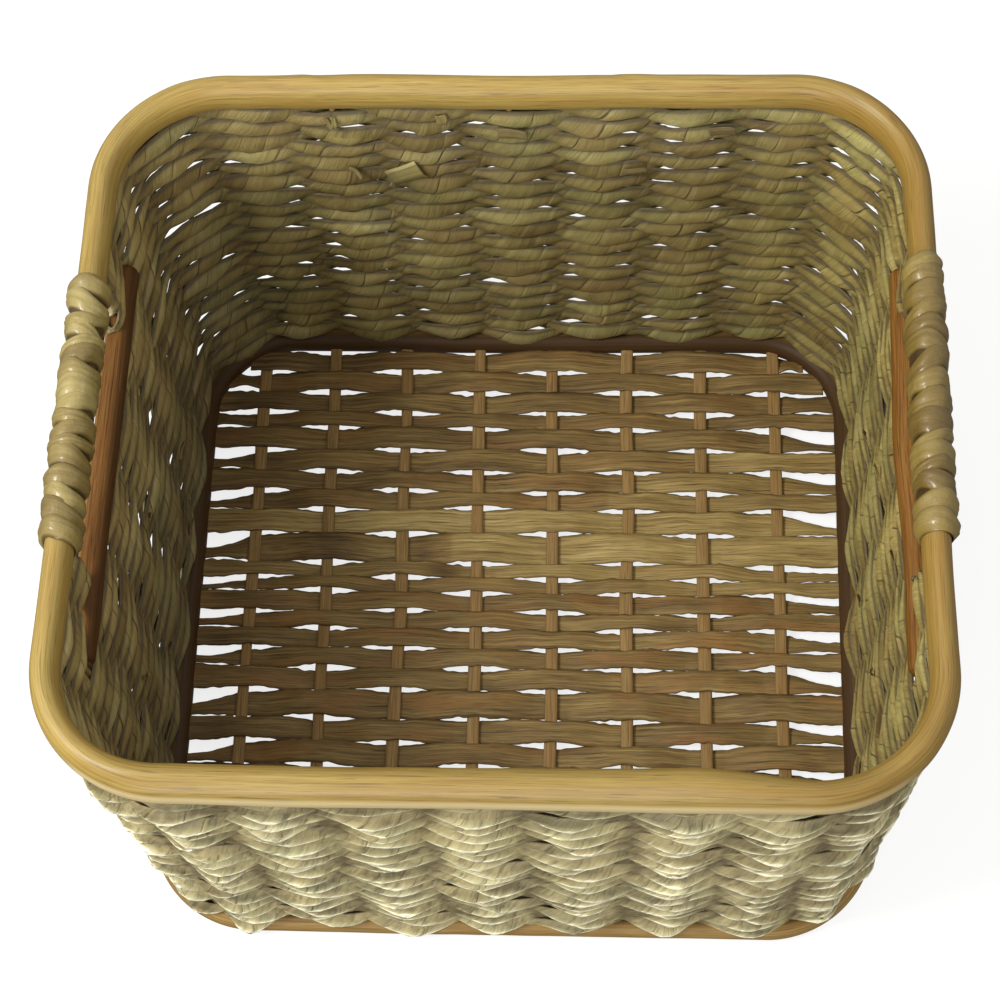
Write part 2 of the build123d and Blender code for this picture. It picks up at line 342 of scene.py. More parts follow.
# ---------------------------------------------------------------------------
# materials
# ---------------------------------------------------------------------------
class Tree:
    def __init__(self, name):
        self.mat = bpy.data.materials.new(name)
        self.mat.use_nodes = True
        self.nt = self.mat.node_tree
        self.nt.nodes.clear()
        self.out = self.node("ShaderNodeOutputMaterial")
        self.bsdf = self.node("ShaderNodeBsdfPrincipled")
        self.link(self.bsdf.outputs[0], self.out.inputs["Surface"])

    def node(self, kind, **kw):
        n = self.nt.nodes.new(kind)
        for k, v in kw.items():
            setattr(n, k, v)
        return n

    def link(self, a, b):
        self.nt.links.new(a, b)

    def put(self, sock, val):
        if isinstance(val, bpy.types.NodeSocket):
            self.link(val, sock)
        else:
            if hasattr(sock, "default_value") and not isinstance(val, (int, float)) and len(val) == 3 and len(sock.default_value) == 4:
                val = (*val, 1.0)
            sock.default_value = val

    def uv(self):
        return self.node("ShaderNodeUVMap", uv_map="strand").outputs[0]

    def obj(self):
        return self.node("ShaderNodeTexCoord").outputs["Object"]

    def tone(self):
        n = self.node("ShaderNodeAttribute", attribute_name="tone")
        s = self.node("ShaderNodeSeparateColor")
        self.link(n.outputs["Color"], s.inputs[0])
        self.deep = n.outputs["Alpha"]
        return s.outputs[0], s.outputs[1], s.outputs[2]

    def xyz(self, v):
        s = self.node("ShaderNodeSeparateXYZ")
        self.link(v, s.inputs[0])
        return s.outputs[0], s.outputs[1], s.outputs[2]

    def vec(self, x, y, z):
        n = self.node("ShaderNodeCombineXYZ")
        for s, v in zip(n.inputs, (x, y, z)):
            self.put(s, v)
        return n.outputs[0]

    def scale(self, v, s):
        n = self.node("ShaderNodeVectorMath", operation="MULTIPLY")
        self.put(n.inputs[0], v)
        n.inputs[1].default_value = s
        return n.outputs[0]

    def math(self, op, a, b=0.0, c=0.0, clamp=False):
        n = self.node("ShaderNodeMath", operation=op, use_clamp=clamp)
        for s, v in zip(n.inputs, (a, b, c)):
            self.put(s, v)
        return n.outputs[0]

    def noise(self, v, scale=1.0, detail=3.0, rough=0.55, dist=0.0):
        n = self.node("ShaderNodeTexNoise")
        self.put(n.inputs["Vector"], v)
        n.inputs["Scale"].default_value = scale
        n.inputs["Detail"].default_value = detail
        n.inputs["Roughness"].default_value = rough
        n.inputs["Distortion"].default_value = dist
        return n.outputs[0]

    def ramp(self, fac, *stops):
        n = self.node("ShaderNodeValToRGB")
        self.put(n.inputs[0], fac)
        e = n.color_ramp.elements
        while len(e) < len(stops):
            e.new(0.5)
        for el, (p, c) in zip(e, stops):
            el.position = p
            el.color = (c, c, c, 1) if isinstance(c, (int, float)) else (*c, 1)
        return n.outputs[0]

    def mix(self, fac, a, b, blend="MIX"):
        n = self.node("ShaderNodeMix", data_type="RGBA", blend_type=blend)
        self.put(n.inputs["Factor"], fac)
        self.put(n.inputs[6], a)
        self.put(n.inputs[7], b)
        return n.outputs[2]

    def bump(self, height, strength=0.5, distance=0.001, normal=None):
        n = self.node("ShaderNodeBump")
        n.inputs["Strength"].default_value = strength
        n.inputs["Distance"].default_value = distance
        self.link(height, n.inputs["Height"])
        if normal is not None:
            self.link(normal, n.inputs["Normal"])
        return n.outputs[0]

    def finish(self, color, rough, normal=None, **sockets):
        self.put(self.bsdf.inputs["Base Color"], color)
        self.put(self.bsdf.inputs["Roughness"], rough)
        if normal is not None:
            self.link(normal, self.bsdf.inputs["Normal"])
        for k, v in sockets.items():
            self.bsdf.inputs[k.replace("_", " ")].default_value = v
        return self.mat


def seagrass_material(name):
    """uv.x counts turns plus the place round the section, uv.y runs across the wound leaf;
    tone holds the turn's, the strand's and the side's value."""
    t = Tree(name)
    turn, brick, side = t.tone()
    u, v, _ = t.xyz(t.uv())
    place = t.math("FRACT", u)
    # fibres run along the wound leaf: stretched along u, fine across v
    fibre = t.noise(t.vec(t.math("MULTIPLY", u, 1.3), t.math("MULTIPLY", v, 22.0), t.math("MULTIPLY", turn, 37.0)), 1.0, 4.0, 0.62)
    fine = t.noise(t.vec(t.math("MULTIPLY", u, 2.6), t.math("MULTIPLY", v, 62.0), t.math("MULTIPLY", turn, 11.0)), 1.0, 3.0, 0.6)
    obj = t.obj()
    blotch = t.noise(obj, 34.0, 4.0, 0.62)
    wide = t.noise(obj, 8.0, 2.0, 0.5)
    mixv = t.math("ADD", t.math("MULTIPLY", turn, 0.20), t.math("MULTIPLY", brick, 0.55))
    mixv = t.math("ADD", mixv, 0.12)
    mixv = t.math("ADD", mixv, t.math("MULTIPLY", t.math("SUBTRACT", blotch, 0.5), 0.95))
    mixv = t.math("ADD", mixv, t.math("MULTIPLY", t.math("SUBTRACT", fibre, 0.5), 0.75), clamp=True)
    # outward faces take the pale ramp, inward faces the dull one: partly the leaf's own colour, partly painted shade of
    # the basket's inside
    pale = t.ramp(mixv,
                  (0.0, (0.350, 0.285, 0.135)), (0.25, (0.500, 0.440, 0.235)), (0.50, (0.640, 0.580, 0.345)),
                  (0.75, (0.760, 0.705, 0.450)), (1.0, (0.880, 0.830, 0.590)))
    dull = t.ramp(mixv,
                  (0.0, (0.130, 0.085, 0.030)), (0.25, (0.270, 0.205, 0.072)), (0.50, (0.400, 0.328, 0.118)),
                  (0.75, (0.530, 0.455, 0.180)), (1.0, (0.700, 0.625, 0.300)))
    col = t.mix(side, dull, pale)
    # greenish and reddish leaves among the straw-coloured ones, darker on inward faces as painted shade
    green = t.ramp(t.math("ADD", t.math("MULTIPLY", t.noise(t.scale(obj, (1, 1, 1.7)), 19.0, 2.0, 0.5), 0.8), t.math("MULTIPLY", brick, 0.2)), (0.50, 0.0), (0.64, 1.0))
    col = t.mix(t.math("MULTIPLY", green, 0.34), col, t.mix(side, (0.215, 0.260, 0.110), (0.420, 0.470, 0.300)))
    red = t.ramp(t.math("ADD", t.math("MULTIPLY", wide, 0.55), t.math("MULTIPLY", turn, 0.45)), (0.58, 0.0), (0.74, 1.0))
    col = t.mix(t.math("MULTIPLY", red, 0.40), col, t.mix(side, (0.330, 0.200, 0.085), (0.500, 0.400, 0.240)))
    col = t.mix(0.6, col, t.ramp(fine, (0.28, 0.50), (0.50, 1.0), (0.76, 1.16)), "MULTIPLY")
    # painted shade: dark line where one turn of leaf overlaps the next
    near = t.math("ABSOLUTE", t.math("SUBTRACT", t.math("FRACT", t.math("ADD", v, 0.5)), 0.5))
    wob = t.math("ADD", near, t.math("MULTIPLY", t.math("SUBTRACT", t.noise(t.vec(t.math("MULTIPLY", u, 6.0), turn, 0.0), 1.0, 2.0), 0.5), 0.03))
    edge = t.ramp(wob, (0.0, 1.0), (0.012, 1.0), (0.030, 0.0))
    gate = t.ramp(turn, (0.30, 0.08), (0.62, 1.0))
    col = t.mix(t.math("MULTIPLY", t.math("MULTIPLY", edge, gate), 0.85), col, (0.035, 0.022, 0.010))
    # painted highlight: a bright cream line along the lower fold of the strands on the wall's outside
    fold = t.math("ABSOLUTE", t.math("SUBTRACT", place, 0.750))
    fold_highlight = t.ramp(t.math("ADD", fold, t.math("MULTIPLY", t.math("SUBTRACT", blotch, 0.5), 0.05)), (0.0, 1.0), (0.092, 1.0), (0.114, 0.0))
    outer = t.ramp(t.deep, (0.62, 0.0), (0.72, 1.0))
    # below the overhanging brick above, each outer face starts in shadow and clears downwards
    down = t.math("MULTIPLY", t.math("SINE", t.math("MULTIPLY", place, 6.2832)), -1.0)
    over = t.ramp(t.math("ADD", t.math("MULTIPLY", t.math("ADD", down, 1.0), 0.5), t.math("MULTIPLY", t.math("SUBTRACT", blotch, 0.5), 0.25)), (0.50, 1.0), (0.68, 0.70), (0.86, 0.0))
    col = t.mix(t.math("MULTIPLY", t.math("MULTIPLY", over, side), 0.78), col, t.mix(t.ramp(blotch, (0.38, 0.0), (0.62, 1.0)), (0.062, 0.041, 0.016), (0.340, 0.270, 0.128)))
    # painted shadow: the top of each inward face, under the proud lower edge of the brick above, darkened
    under = t.ramp(t.math("ADD", down, 1.0), (0.12, 1.0), (0.30, 0.75), (0.50, 0.0))
    col = t.mix(t.math("MULTIPLY", t.math("MULTIPLY", under, t.math("SUBTRACT", 1.0, side)), 0.72), col, (0.050, 0.034, 0.013))
    col = t.mix(t.math("MULTIPLY", t.math("MULTIPLY", fold_highlight, outer), 1.0), col, (1.000, 0.955, 0.760))
    # painted shade in the hollows between the bricks, outside and in
    hollow_shade = t.ramp(t.math("ADD", t.deep, t.math("MULTIPLY", t.math("SUBTRACT", blotch, 0.5), 0.06)), (0.345, 0.0), (0.42, 0.70), (0.545, 0.85), (0.60, 0.0))
    shade = t.mix(side, (0.062, 0.040, 0.016), (0.088, 0.060, 0.026))
    col = t.mix(t.math("MULTIPLY", t.math("MULTIPLY", hollow_shade, t.math("ADD", 0.50, t.math("MULTIPLY", side, 0.45))), t.ramp(blotch, (0.30, 0.55), (0.60, 1.0))), col, shade)
    # painted shade: the tucked upper part of each strand, under the brick above, darker and browner
    tuck = t.ramp(t.math("ABSOLUTE", t.math("SUBTRACT", place, 0.25)), (0.0, 1.0), (0.10, 0.8), (0.22, 0.0))
    col = t.mix(t.math("MULTIPLY", tuck, 0.40), col, t.mix(side, (0.085, 0.056, 0.020), (0.210, 0.155, 0.070)))
    # the flattened leaf is creased along its length, outside more than in
    crease = t.noise(t.vec(t.math("MULTIPLY", u, 0.9), t.math("MULTIPLY", v, 8.5), t.math("MULTIPLY", turn, 23.0)), 1.0, 3.0, 0.62)
    crease = t.ramp(crease, (0.33, 0.48), (0.45, 0.92), (0.55, 1.02), (0.66, 1.22))
    col = t.mix(t.math("ADD", 0.35, t.math("MULTIPLY", side, 0.50)), col, crease, "MULTIPLY")
    # painted light and shade: outward faces brightened, a little more low down; inner faces of the back wall darkened,
    # more so high up, of the right wall brightened, and of the left wall darkened low down and brightened high up, as
    # the lamps fall on each wall
    x, y, z = t.xyz(t.obj())
    inner = t.math("SUBTRACT", 1.0, side)
    high = t.ramp(z, (0.06, 0.0), (0.18, 1.0))
    col = t.mix(side, col, t.mix(1.0, col, t.mix(high, (1.13, 1.12, 1.02), (1.06, 1.045, 0.93)), "MULTIPLY"))
    back = t.ramp(y, (0.10, 0.0), (0.15, 1.0))
    col = t.mix(t.math("MULTIPLY", back, inner), col, t.mix(1.0, col, t.mix(high, (0.92, 0.92, 0.93), (0.84, 0.83, 0.81)), "MULTIPLY"))
    right = t.ramp(x, (0.12, 0.0), (0.17, 1.0))
    col = t.mix(t.math("MULTIPLY", right, inner), col, t.mix(1.0, col, t.mix(high, (1.17, 1.14, 1.02), (1.25, 1.21, 1.08)), "MULTIPLY"))
    left = t.ramp(t.math("MULTIPLY", x, -1.0), (0.12, 0.0), (0.17, 1.0))
    col = t.mix(t.math("MULTIPLY", left, inner), col, t.mix(1.0, col, t.mix(high, (0.84, 0.83, 0.98), (1.27, 1.22, 1.28)), "MULTIPLY"))
    rough = t.math("ADD", 0.36, t.math("MULTIPLY", fibre, 0.30))
    h = t.math("ADD", t.math("MULTIPLY", fibre, 0.7), t.math("MULTIPLY", fine, 0.3))
    nrm = t.bump(h, 0.80, 0.0008)
    nrm = t.bump(blotch, 0.40, 0.0018, nrm)
    return t.finish(col, rough, nrm, Specular_IOR_Level=0.55)


def pole_material(name, light, mid, dark, streak_scale=1.0, gloss=0.42, around=None):
    """Rattan or cane with grain along its length: uv.x along in mm, uv.y around."""
    t = Tree(name)
    u, v, _ = t.xyz(t.uv())
    turn, brick, side = t.tone()
    ang = t.math("MULTIPLY", v, 6.2832)
    cx, cy = t.math("COSINE", ang), t.math("SINE", ang)
    grain = t.noise(t.vec(t.math("MULTIPLY", u, 0.018 * streak_scale), t.math("MULTIPLY", cx, 9.0), t.math("MULTIPLY", cy, 9.0)), 1.0, 6.0, 0.68, 0.15)
    fine = t.noise(t.vec(t.math("MULTIPLY", u, 0.055), t.math("MULTIPLY", cx, 30.0), t.math("MULTIPLY", cy, 30.0)), 1.0, 3.0, 0.6)
    soft = t.noise(t.vec(t.math("MULTIPLY", u, 0.010), t.math("MULTIPLY", cx, 1.3), t.math("MULTIPLY", cy, 1.3)), 1.0, 2.0, 0.5)
    col = t.ramp(grain, (0.27, dark), (0.45, mid), (0.62, light), (0.80, tuple(min(1, c * 1.14) for c in light)))
    col = t.mix(t.math("MULTIPLY", t.ramp(soft, (0.40, 0.0), (0.66, 1.0)), 0.42), col, tuple(c * k for c, k in zip(mid, (1.0, 0.84, 0.62))))
    streak = t.ramp(fine, (0.28, 0.62), (0.45, 0.98), (0.72, 1.14))
    col = t.mix(0.85, col, streak, "MULTIPLY")
    # short dark dashes in the grain
    dash = t.noise(t.vec(t.math("MULTIPLY", u, 0.045), t.math("MULTIPLY", cx, 11.0), t.math("ADD", t.math("MULTIPLY", cy, 11.0), 7.3)), 1.0, 1.0, 0.4)
    col = t.mix(t.math("MULTIPLY", t.ramp(dash, (0.64, 0.0), (0.70, 1.0)), 0.50), col, tuple(c * 0.55 for c in dark))
    if around == "rim":                          # darker and more saturated along the front, with a painted highlight along the front's outer side; painted shade darkens and browns the right side
        x, y, z = t.xyz(t.obj())
        front = t.ramp(t.math("SUBTRACT", t.math("MULTIPLY", y, -1.0), 0.17), (0.0, 0.0), (0.008, 1.0))
        col = t.mix(1.0, col, (0.89, 0.90, 0.86), "MULTIPLY")
        col = t.mix(front, col, t.mix(1.0, col, (0.79, 0.77, 0.68), "MULTIPLY"))
        col = t.mix(t.math("MULTIPLY", t.math("MULTIPLY", front, t.ramp(side, (0.93, 0.0), (0.985, 1.0))), 0.65), col, (0.760, 0.620, 0.340))
        col = t.mix(t.ramp(t.math("SUBTRACT", x, 0.10), (0.0, 0.0), (0.09, 1.0)), col, t.mix(1.0, col, (0.78, 0.70, 0.57), "MULTIPLY"))
    if around == "hoop":                         # dark on its inner side, where the floor is laced to it
        hoop_inner_dark = t.ramp(t.math("ADD", side, t.math("MULTIPLY", t.math("SUBTRACT", soft, 0.5), 0.4)), (0.42, 1.0), (0.74, 0.0))
        col = t.mix(t.math("MULTIPLY", hoop_inner_dark, 0.92), col, t.mix(grain, (0.020, 0.010, 0.006), (0.100, 0.048, 0.022)))
        col = t.mix(1.0, col, (0.84, 0.82, 0.70), "MULTIPLY")
    if around == "bar":                          # painted light and shade on the cane bars, reddish brown otherwise: a tan lit band along each bar's outer side, the left bar's inner side darkened in shade, and the right bar brightened all over where the lamp falls on it
        tan_ = t.ramp(t.math("ADD", side, t.math("MULTIPLY", t.math("SUBTRACT", grain, 0.5), 0.15)), (0.80, 0.0), (0.88, 1.0))
        col = t.mix(t.math("MULTIPLY", tan_, 0.75), col, t.mix(grain, (0.170, 0.085, 0.026), (0.420, 0.245, 0.085)))
        x, y, z = t.xyz(t.obj())
        left_bar = t.ramp(t.math("ADD", x, 0.5), (0.49, 1.0), (0.51, 0.0))
        col = t.mix(t.math("MULTIPLY", t.math("MULTIPLY", t.ramp(side, (0.12, 1.0), (0.40, 0.0)), left_bar), 0.60), col, (0.045, 0.020, 0.007))
        col = t.mix(t.math("SUBTRACT", 1.0, left_bar), col, t.mix(1.0, col, (1.45, 1.50, 1.35), "MULTIPLY"))
    rough = t.math("ADD", gloss - 0.10, t.math("MULTIPLY", fine, 0.25))
    nrm = t.bump(t.math("ADD", t.math("MULTIPLY", grain, 0.5), t.math("MULTIPLY", fine, 0.5)), 0.30, 0.0005)
    return t.finish(col, rough, nrm, Specular_IOR_Level=0.45 if around == "rim" else 0.18, Coat_Weight=0.10 if around == "rim" else 0.0, Coat_Roughness=0.25)


def leaf_material(name):
    t = Tree(name)
    turn, brick, side = t.tone()
    u, v, _ = t.xyz(t.uv())
    fibre = t.noise(t.vec(t.math("MULTIPLY", u, 0.03), t.math("MULTIPLY", v, 20.0), t.math("MULTIPLY", turn, 31.0)), 1.0, 4.0, 0.6)
    fine = t.noise(t.vec(t.math("MULTIPLY", u, 0.10), t.math("MULTIPLY", v, 70.0), t.math("MULTIPLY", turn, 9.0)), 1.0, 2.0, 0.6)
    cloud = t.noise(t.obj(), 60.0, 3.0, 0.6)
    tonev = t.math("ADD", t.math("MULTIPLY", turn, 0.5), t.math("ADD", t.math("MULTIPLY", fibre, 0.45), t.math("MULTIPLY", cloud, 0.35)), clamp=False)
    col = t.ramp(t.math("SUBTRACT", tonev, 0.20, clamp=True),
                 (0.05, (0.150, 0.098, 0.034)), (0.30, (0.255, 0.190, 0.066)),
                 (0.55, (0.345, 0.275, 0.105)), (0.80, (0.440, 0.370, 0.165)), (1.0, (0.55, 0.49, 0.26)))
    # painted shade: dark lines along both edges of each wound turn, in the gaps between turns
    edge = t.ramp(v, (0.0, 1.0), (0.04, 1.0), (0.14, 0.0), (0.90, 0.0), (0.975, 1.0))
    col = t.mix(t.math("MULTIPLY", edge, 0.72), col, (0.060, 0.037, 0.015))
    # painted shade: the under-layer (side near 0) coloured dark, as it shows only in the shaded gaps between turns
    col = t.mix(t.ramp(side, (0.15, 1.0), (0.30, 0.0)), col, (0.085, 0.055, 0.024))
    x, y, z = t.xyz(t.obj())
    # painted shade: the right hand's binding darker and browner, away from the lamp
    col = t.mix(t.ramp(x, (0.0, 0.0), (0.1, 1.0)), col, t.mix(1.0, col, (0.72, 0.65, 0.48), "MULTIPLY"))
    col = t.mix(1.0, col, (1.0, 0.97, 0.84), "MULTIPLY")
    col = t.mix(0.4, col, t.ramp(fine, (0.3, 0.62), (0.5, 1.0), (0.75, 1.1)), "MULTIPLY")
    rough = t.math("ADD", 0.22, t.math("MULTIPLY", cloud, 0.40))
    nrm = t.bump(t.math("ADD", t.math("MULTIPLY", fibre, 0.6), t.math("MULTIPLY", fine, 0.4)), 0.35, 0.0004)
    nrm = t.bump(t.noise(t.obj(), 190.0, 3.0, 0.6), 0.55, 0.0012, nrm)
    return t.finish(col, rough, nrm, Specular_IOR_Level=0.5, Coat_Weight=0.35, Coat_Roughness=0.16)


def splint_material(name):
    """Wide flat floor splint: uv.x along in mm, uv.y across; tone.r is the splint's own tone."""
    t = Tree(name)
    turn, brick, side = t.tone()
    u, v, _ = t.xyz(t.uv())
    seed = t.math("MULTIPLY", turn, 53.0)
    fibre = t.noise(t.vec(t.math("MULTIPLY", u, 0.020), t.math("MULTIPLY", v, 11.0), seed), 1.0, 5.0, 0.65, 0.1)
    fine = t.noise(t.vec(t.math("MULTIPLY", u, 0.06), t.math("MULTIPLY", v, 38.0), seed), 1.0, 3.0, 0.6)
    cloud = t.noise(t.vec(t.math("MULTIPLY", u, 0.012), t.math("MULTIPLY", v, 0.8), seed), 1.0, 3.0, 0.6)
    m = t.math("ADD", t.math("MULTIPLY", t.math("SUBTRACT", fibre, 0.5), 1.25), t.math("ADD", brick, t.math("MULTIPLY", t.math("SUBTRACT", cloud, 0.5), 0.55)), clamp=True)
    col = t.ramp(m, (0.0, (0.050, 0.031, 0.012)), (0.25, (0.140, 0.090, 0.034)), (0.45, (0.235, 0.162, 0.060)),
                 (0.65, (0.345, 0.255, 0.098)), (0.85, (0.465, 0.370, 0.160)), (1.0, (0.580, 0.490, 0.250)))
    warm = t.ramp(t.noise(t.vec(t.math("MULTIPLY", u, 0.018), v, t.math("ADD", seed, 3.0)), 1.0, 2.0, 0.5), (0.48, 0.0), (0.66, 1.0))
    col = t.mix(t.math("MULTIPLY", warm, t.math("ADD", 0.12, t.math("MULTIPLY", side, 0.58))), col, (0.300, 0.150, 0.046))
    col = t.mix(0.92, col, t.ramp(fine, (0.30, 0.28), (0.45, 0.95), (0.60, 1.12), (0.75, 1.40)), "MULTIPLY")
    crack = t.ramp(t.noise(t.vec(t.math("MULTIPLY", u, 0.035), t.math("MULTIPLY", v, 24.0), t.math("ADD", seed, 9.0)), 1.0, 1.0, 0.4), (0.66, 0.0), (0.71, 1.0))
    col = t.mix(t.math("MULTIPLY", crack, 0.8), col, (0.030, 0.018, 0.008))
    edge = t.ramp(v, (0.0, 1.0), (0.05, 0.5), (0.10, 0.0), (0.90, 0.0), (0.95, 0.5), (1.0, 1.0))
    col = t.mix(t.math("MULTIPLY", edge, 0.35), col, (0.05, 0.03, 0.015))
    rough = t.math("ADD", 0.46, t.math("MULTIPLY", fibre, 0.28))
    nrm = t.bump(t.math("ADD", t.math("MULTIPLY", fibre, 0.6), t.math("MULTIPLY", fine, 0.4)), 0.6, 0.0007)
    col = t.mix(1.0, col, (1.02, 0.97, 0.86), "MULTIPLY")
    return t.finish(col, rough, nrm, Specular_IOR_Level=0.35)


MAT_WEAVE = seagrass_material("seagrass_weave")
MAT_RIM = pole_material("rattan_rim", (0.510, 0.365, 0.105), (0.415, 0.278, 0.072), (0.270, 0.158, 0.040), around="rim")
MAT_BASE = pole_material("rattan_base", (0.400, 0.275, 0.115), (0.310, 0.195, 0.072), (0.180, 0.096, 0.032), around="hoop")
MAT_BAR = pole_material("brown_cane", (0.230, 0.108, 0.026), (0.130, 0.054, 0.011), (0.045, 0.017, 0.004), 1.4, 0.55, around="bar")
MAT_RIB = pole_material("floor_cane", (0.40, 0.265, 0.105), (0.27, 0.165, 0.062), (0.13, 0.070, 0.028), 1.6, 0.5)
MAT_STAKE = pole_material("stake_cane", (0.45, 0.32, 0.15), (0.33, 0.22, 0.10), (0.18, 0.10, 0.05), 1.0, 0.55)
MAT_LEAF = leaf_material("leaf_binding")
MAT_SPLINT = splint_material("floor_splint")


# ---------------------------------------------------------------------------
# wall weave
# ---------------------------------------------------------------------------
table_rng = np.random.default_rng(4207)
T_DZ = table_rng.normal(0, 0.55, (COURSES, NS))
T_H = np.clip(table_rng.normal(1.0, 0.075, (COURSES, NS)), 0.78, 1.2)
T_AMP = np.clip(table_rng.normal(1.0, 0.14, (COURSES, NS)), 0.72, 1.35)
T_LEAN = np.clip(table_rng.normal(1.0, 0.22, (COURSES, NS)), 0.5, 1.5)
T_TONE = np.clip(table_rng.normal(0.5, 0.20, (COURSES, NS)) + table_rng.normal(0, 0.10, (COURSES, 1)), 0, 1)
T_DROP = np.clip(table_rng.normal(1.0, 0.25, (COURSES, NS)), 0.4, 1.7)
T_SKEW = table_rng.normal(0.0, 1.0, (COURSES, NS))
T_TWIST = table_rng.normal(0.0, 1.0, (COURSES, NS))
T_SHIFT = np.clip(table_rng.normal(0.0, 0.085, (COURSES, NS)), -0.17, 0.17)


def slit_places():
    """Short lengths where a strand is twisted narrow, so that light shows through beside it."""
    rng = np.random.default_rng(515)
    out = []
    for k in range(2, COURSES - 1):
        n = rng.poisson(1.9)
        for _ in range(n):
            i = rng.integers(15, 25) if rng.random() < 0.85 else rng.integers(0, NS)
            u = STAKES[i] + rng.choice([-1, 1]) * rng.uniform(7, 17)
            out.append((k, u, rng.uniform(3.0, 7.5), rng.uniform(0.6, 1.0)))
    for _ in range(16):                          # the back left corner is the loosest
        out.append((int(rng.integers(18, 35)), S_START[5] + rng.uniform(-60, 80), rng.uniform(3.5, 7), rng.uniform(0.5, 0.75)))
    return out


SLITS = slit_places()


def narrowing(k, u):
    out = np.zeros_like(u)
    for ks, us, half, depth in SLITS:
        if ks not in (k, k + 1):
            continue
        d = np.mod(u - us + PERIM / 2, PERIM) - PERIM / 2
        out = np.maximum(out, depth * (1.0 if ks == k else 0.75) * np.exp(-(d / half) ** 4))
    return out


def per_brick(table, k, phi):
    """Table value of the brick itself, without blending into its neighbours."""
    return table[k][np.round(phi).astype(int) % NS]


def from_table(table, k, phi):
    i = np.floor(phi).astype(int)
    f = phi - i
    f = f * f * (3 - 2 * f)
    row = table[k]
    return row[i % NS] * (1 - f) + row[(i + 1) % NS] * f


H_MID, H_CROSS = 7.0, 4.9
LEAN_OUT, LEAN_IN = 0.46, 0.17
lo, hi = cad("right_handle_bar")
BAR_R = (hi[2] - lo[2]) / 2
BAR_X, BAR_Z = (lo[0] + hi[0]) / 2, (lo[2] + hi[2]) / 2
BAR_RANGE_R = (S_START[2] + FY - 110, S_START[2] + FY + 117)
BAR_RANGE_L = (S_START[6] + FY - 117, S_START[6] + FY + 110)


def in_bar(u):
    u = np.mod(u, PERIM)
    out = np.zeros_like(u)
    for a, b in (BAR_RANGE_R, BAR_RANGE_L):
        out = np.maximum(out, np.clip((u - a) / 9.0, 0, 1) * np.clip((b - u) / 9.0, 0, 1))
    return out * out * (3 - 2 * out)


def course_profile(k, u):
    """Stake phase and its cosine, swing, height, half height, half thickness and lean of course k at places u on the
    wall's plan.
    """
    phi = stake_phase(u)
    phi = phi + from_table(T_SHIFT, k, phi - 0.5)   # crossings fall a little to either side
    c = np.cos(np.pi * (phi + k))
    ac = np.abs(c)
    out = 0.5 + 0.5 * np.sign(c) * np.clip(ac * 3, 0, 1)
    tri = 2 / math.pi * np.arcsin(np.clip(ac, 0, 1))
    sway = 0.72 * tri + 0.28 * ac
    q = phi - np.round(phi)
    side_sway = np.sin(2 * np.pi * q)
    w = (A_IN + (A_OUT - A_IN) * out) * np.sign(c) * sway * per_brick(T_AMP, k, phi)
    w = w + np.sign(c) * 0.75 * per_brick(T_SKEW, k, phi) * side_sway * out
    z = WZ0 + PITCH_Z * (k + 0.5) + from_table(T_DZ, k, phi) + 0.9
    z = z - (1.1 + 1.0 * out) * per_brick(T_DROP, k, phi) * sway
    z = z + 0.55 * per_brick(T_TWIST, k, phi) * side_sway
    hh = (H_CROSS + (H_MID - H_CROSS) * sway) * from_table(T_H, k, phi)
    hh = hh * (1 - 0.40 * narrowing(k, u))
    ht = T_IN + (T_OUT - T_IN) * out
    lean = (LEAN_IN + (LEAN_OUT - LEAN_IN) * out) * np.sign(c) * sway * from_table(T_LEAN, k, phi)
    if k <= 1:                                   # lowest courses ride over the base hoop
        w = w + (1.6 if k == 0 else 0.8) * np.sign(w) * ac
        z = z + (1.2 if k == 0 else -0.6)
        hh = hh * (1.0 if k == 0 else 1.1)
    if k >= COURSES - 2:                         # top courses tuck under the rim
        z = z - (1.2 if k == COURSES - 1 else -0.9)
        hh = np.minimum(hh, 5.4 if k == COURSES - 1 else 6.6)
        w = w * np.where(w > 0, 0.62, 1.0)
        lean = lean * np.where(w > 0, 0.25, 1.0)
    if k == 0:                                   # one brick at the front hangs low over the hoop
        low = np.exp(-((np.mod(u - FX - 2 + PERIM / 2, PERIM) - PERIM / 2) / 15.0) ** 4)
        w, z, lean = w + 2.6 * low, z - 2.2 * low, lean + 0.12 * low
    bar = in_bar(u)
    if k in (27, 28, 29):                        # these pass outside the cane bar
        zt, wt = {27: (182.3, 7.6), 28: (188.6, 10.2), 29: (195.2, 8.6)}[k]
        w = w * (1 - bar) + bar * (wt + 0.25 * c)
        z = z * (1 - bar) + bar * (zt + 0.3 * c)
        hh = hh * (1 - bar) + bar * 4.2
        ht = ht * (1 - bar) + bar * 1.25
        lean = lean * (1 - bar) + bar * {27: -0.25, 28: -0.05, 29: 0.30}[k]
    if k == 30:
        z = z + 2.0 * bar
        hh = hh - bar * 1.2
    if k == 26:
        z = z - 1.0 * bar
        hh = hh - bar * 0.8
    return phi, c, w, z, hh, ht, lean


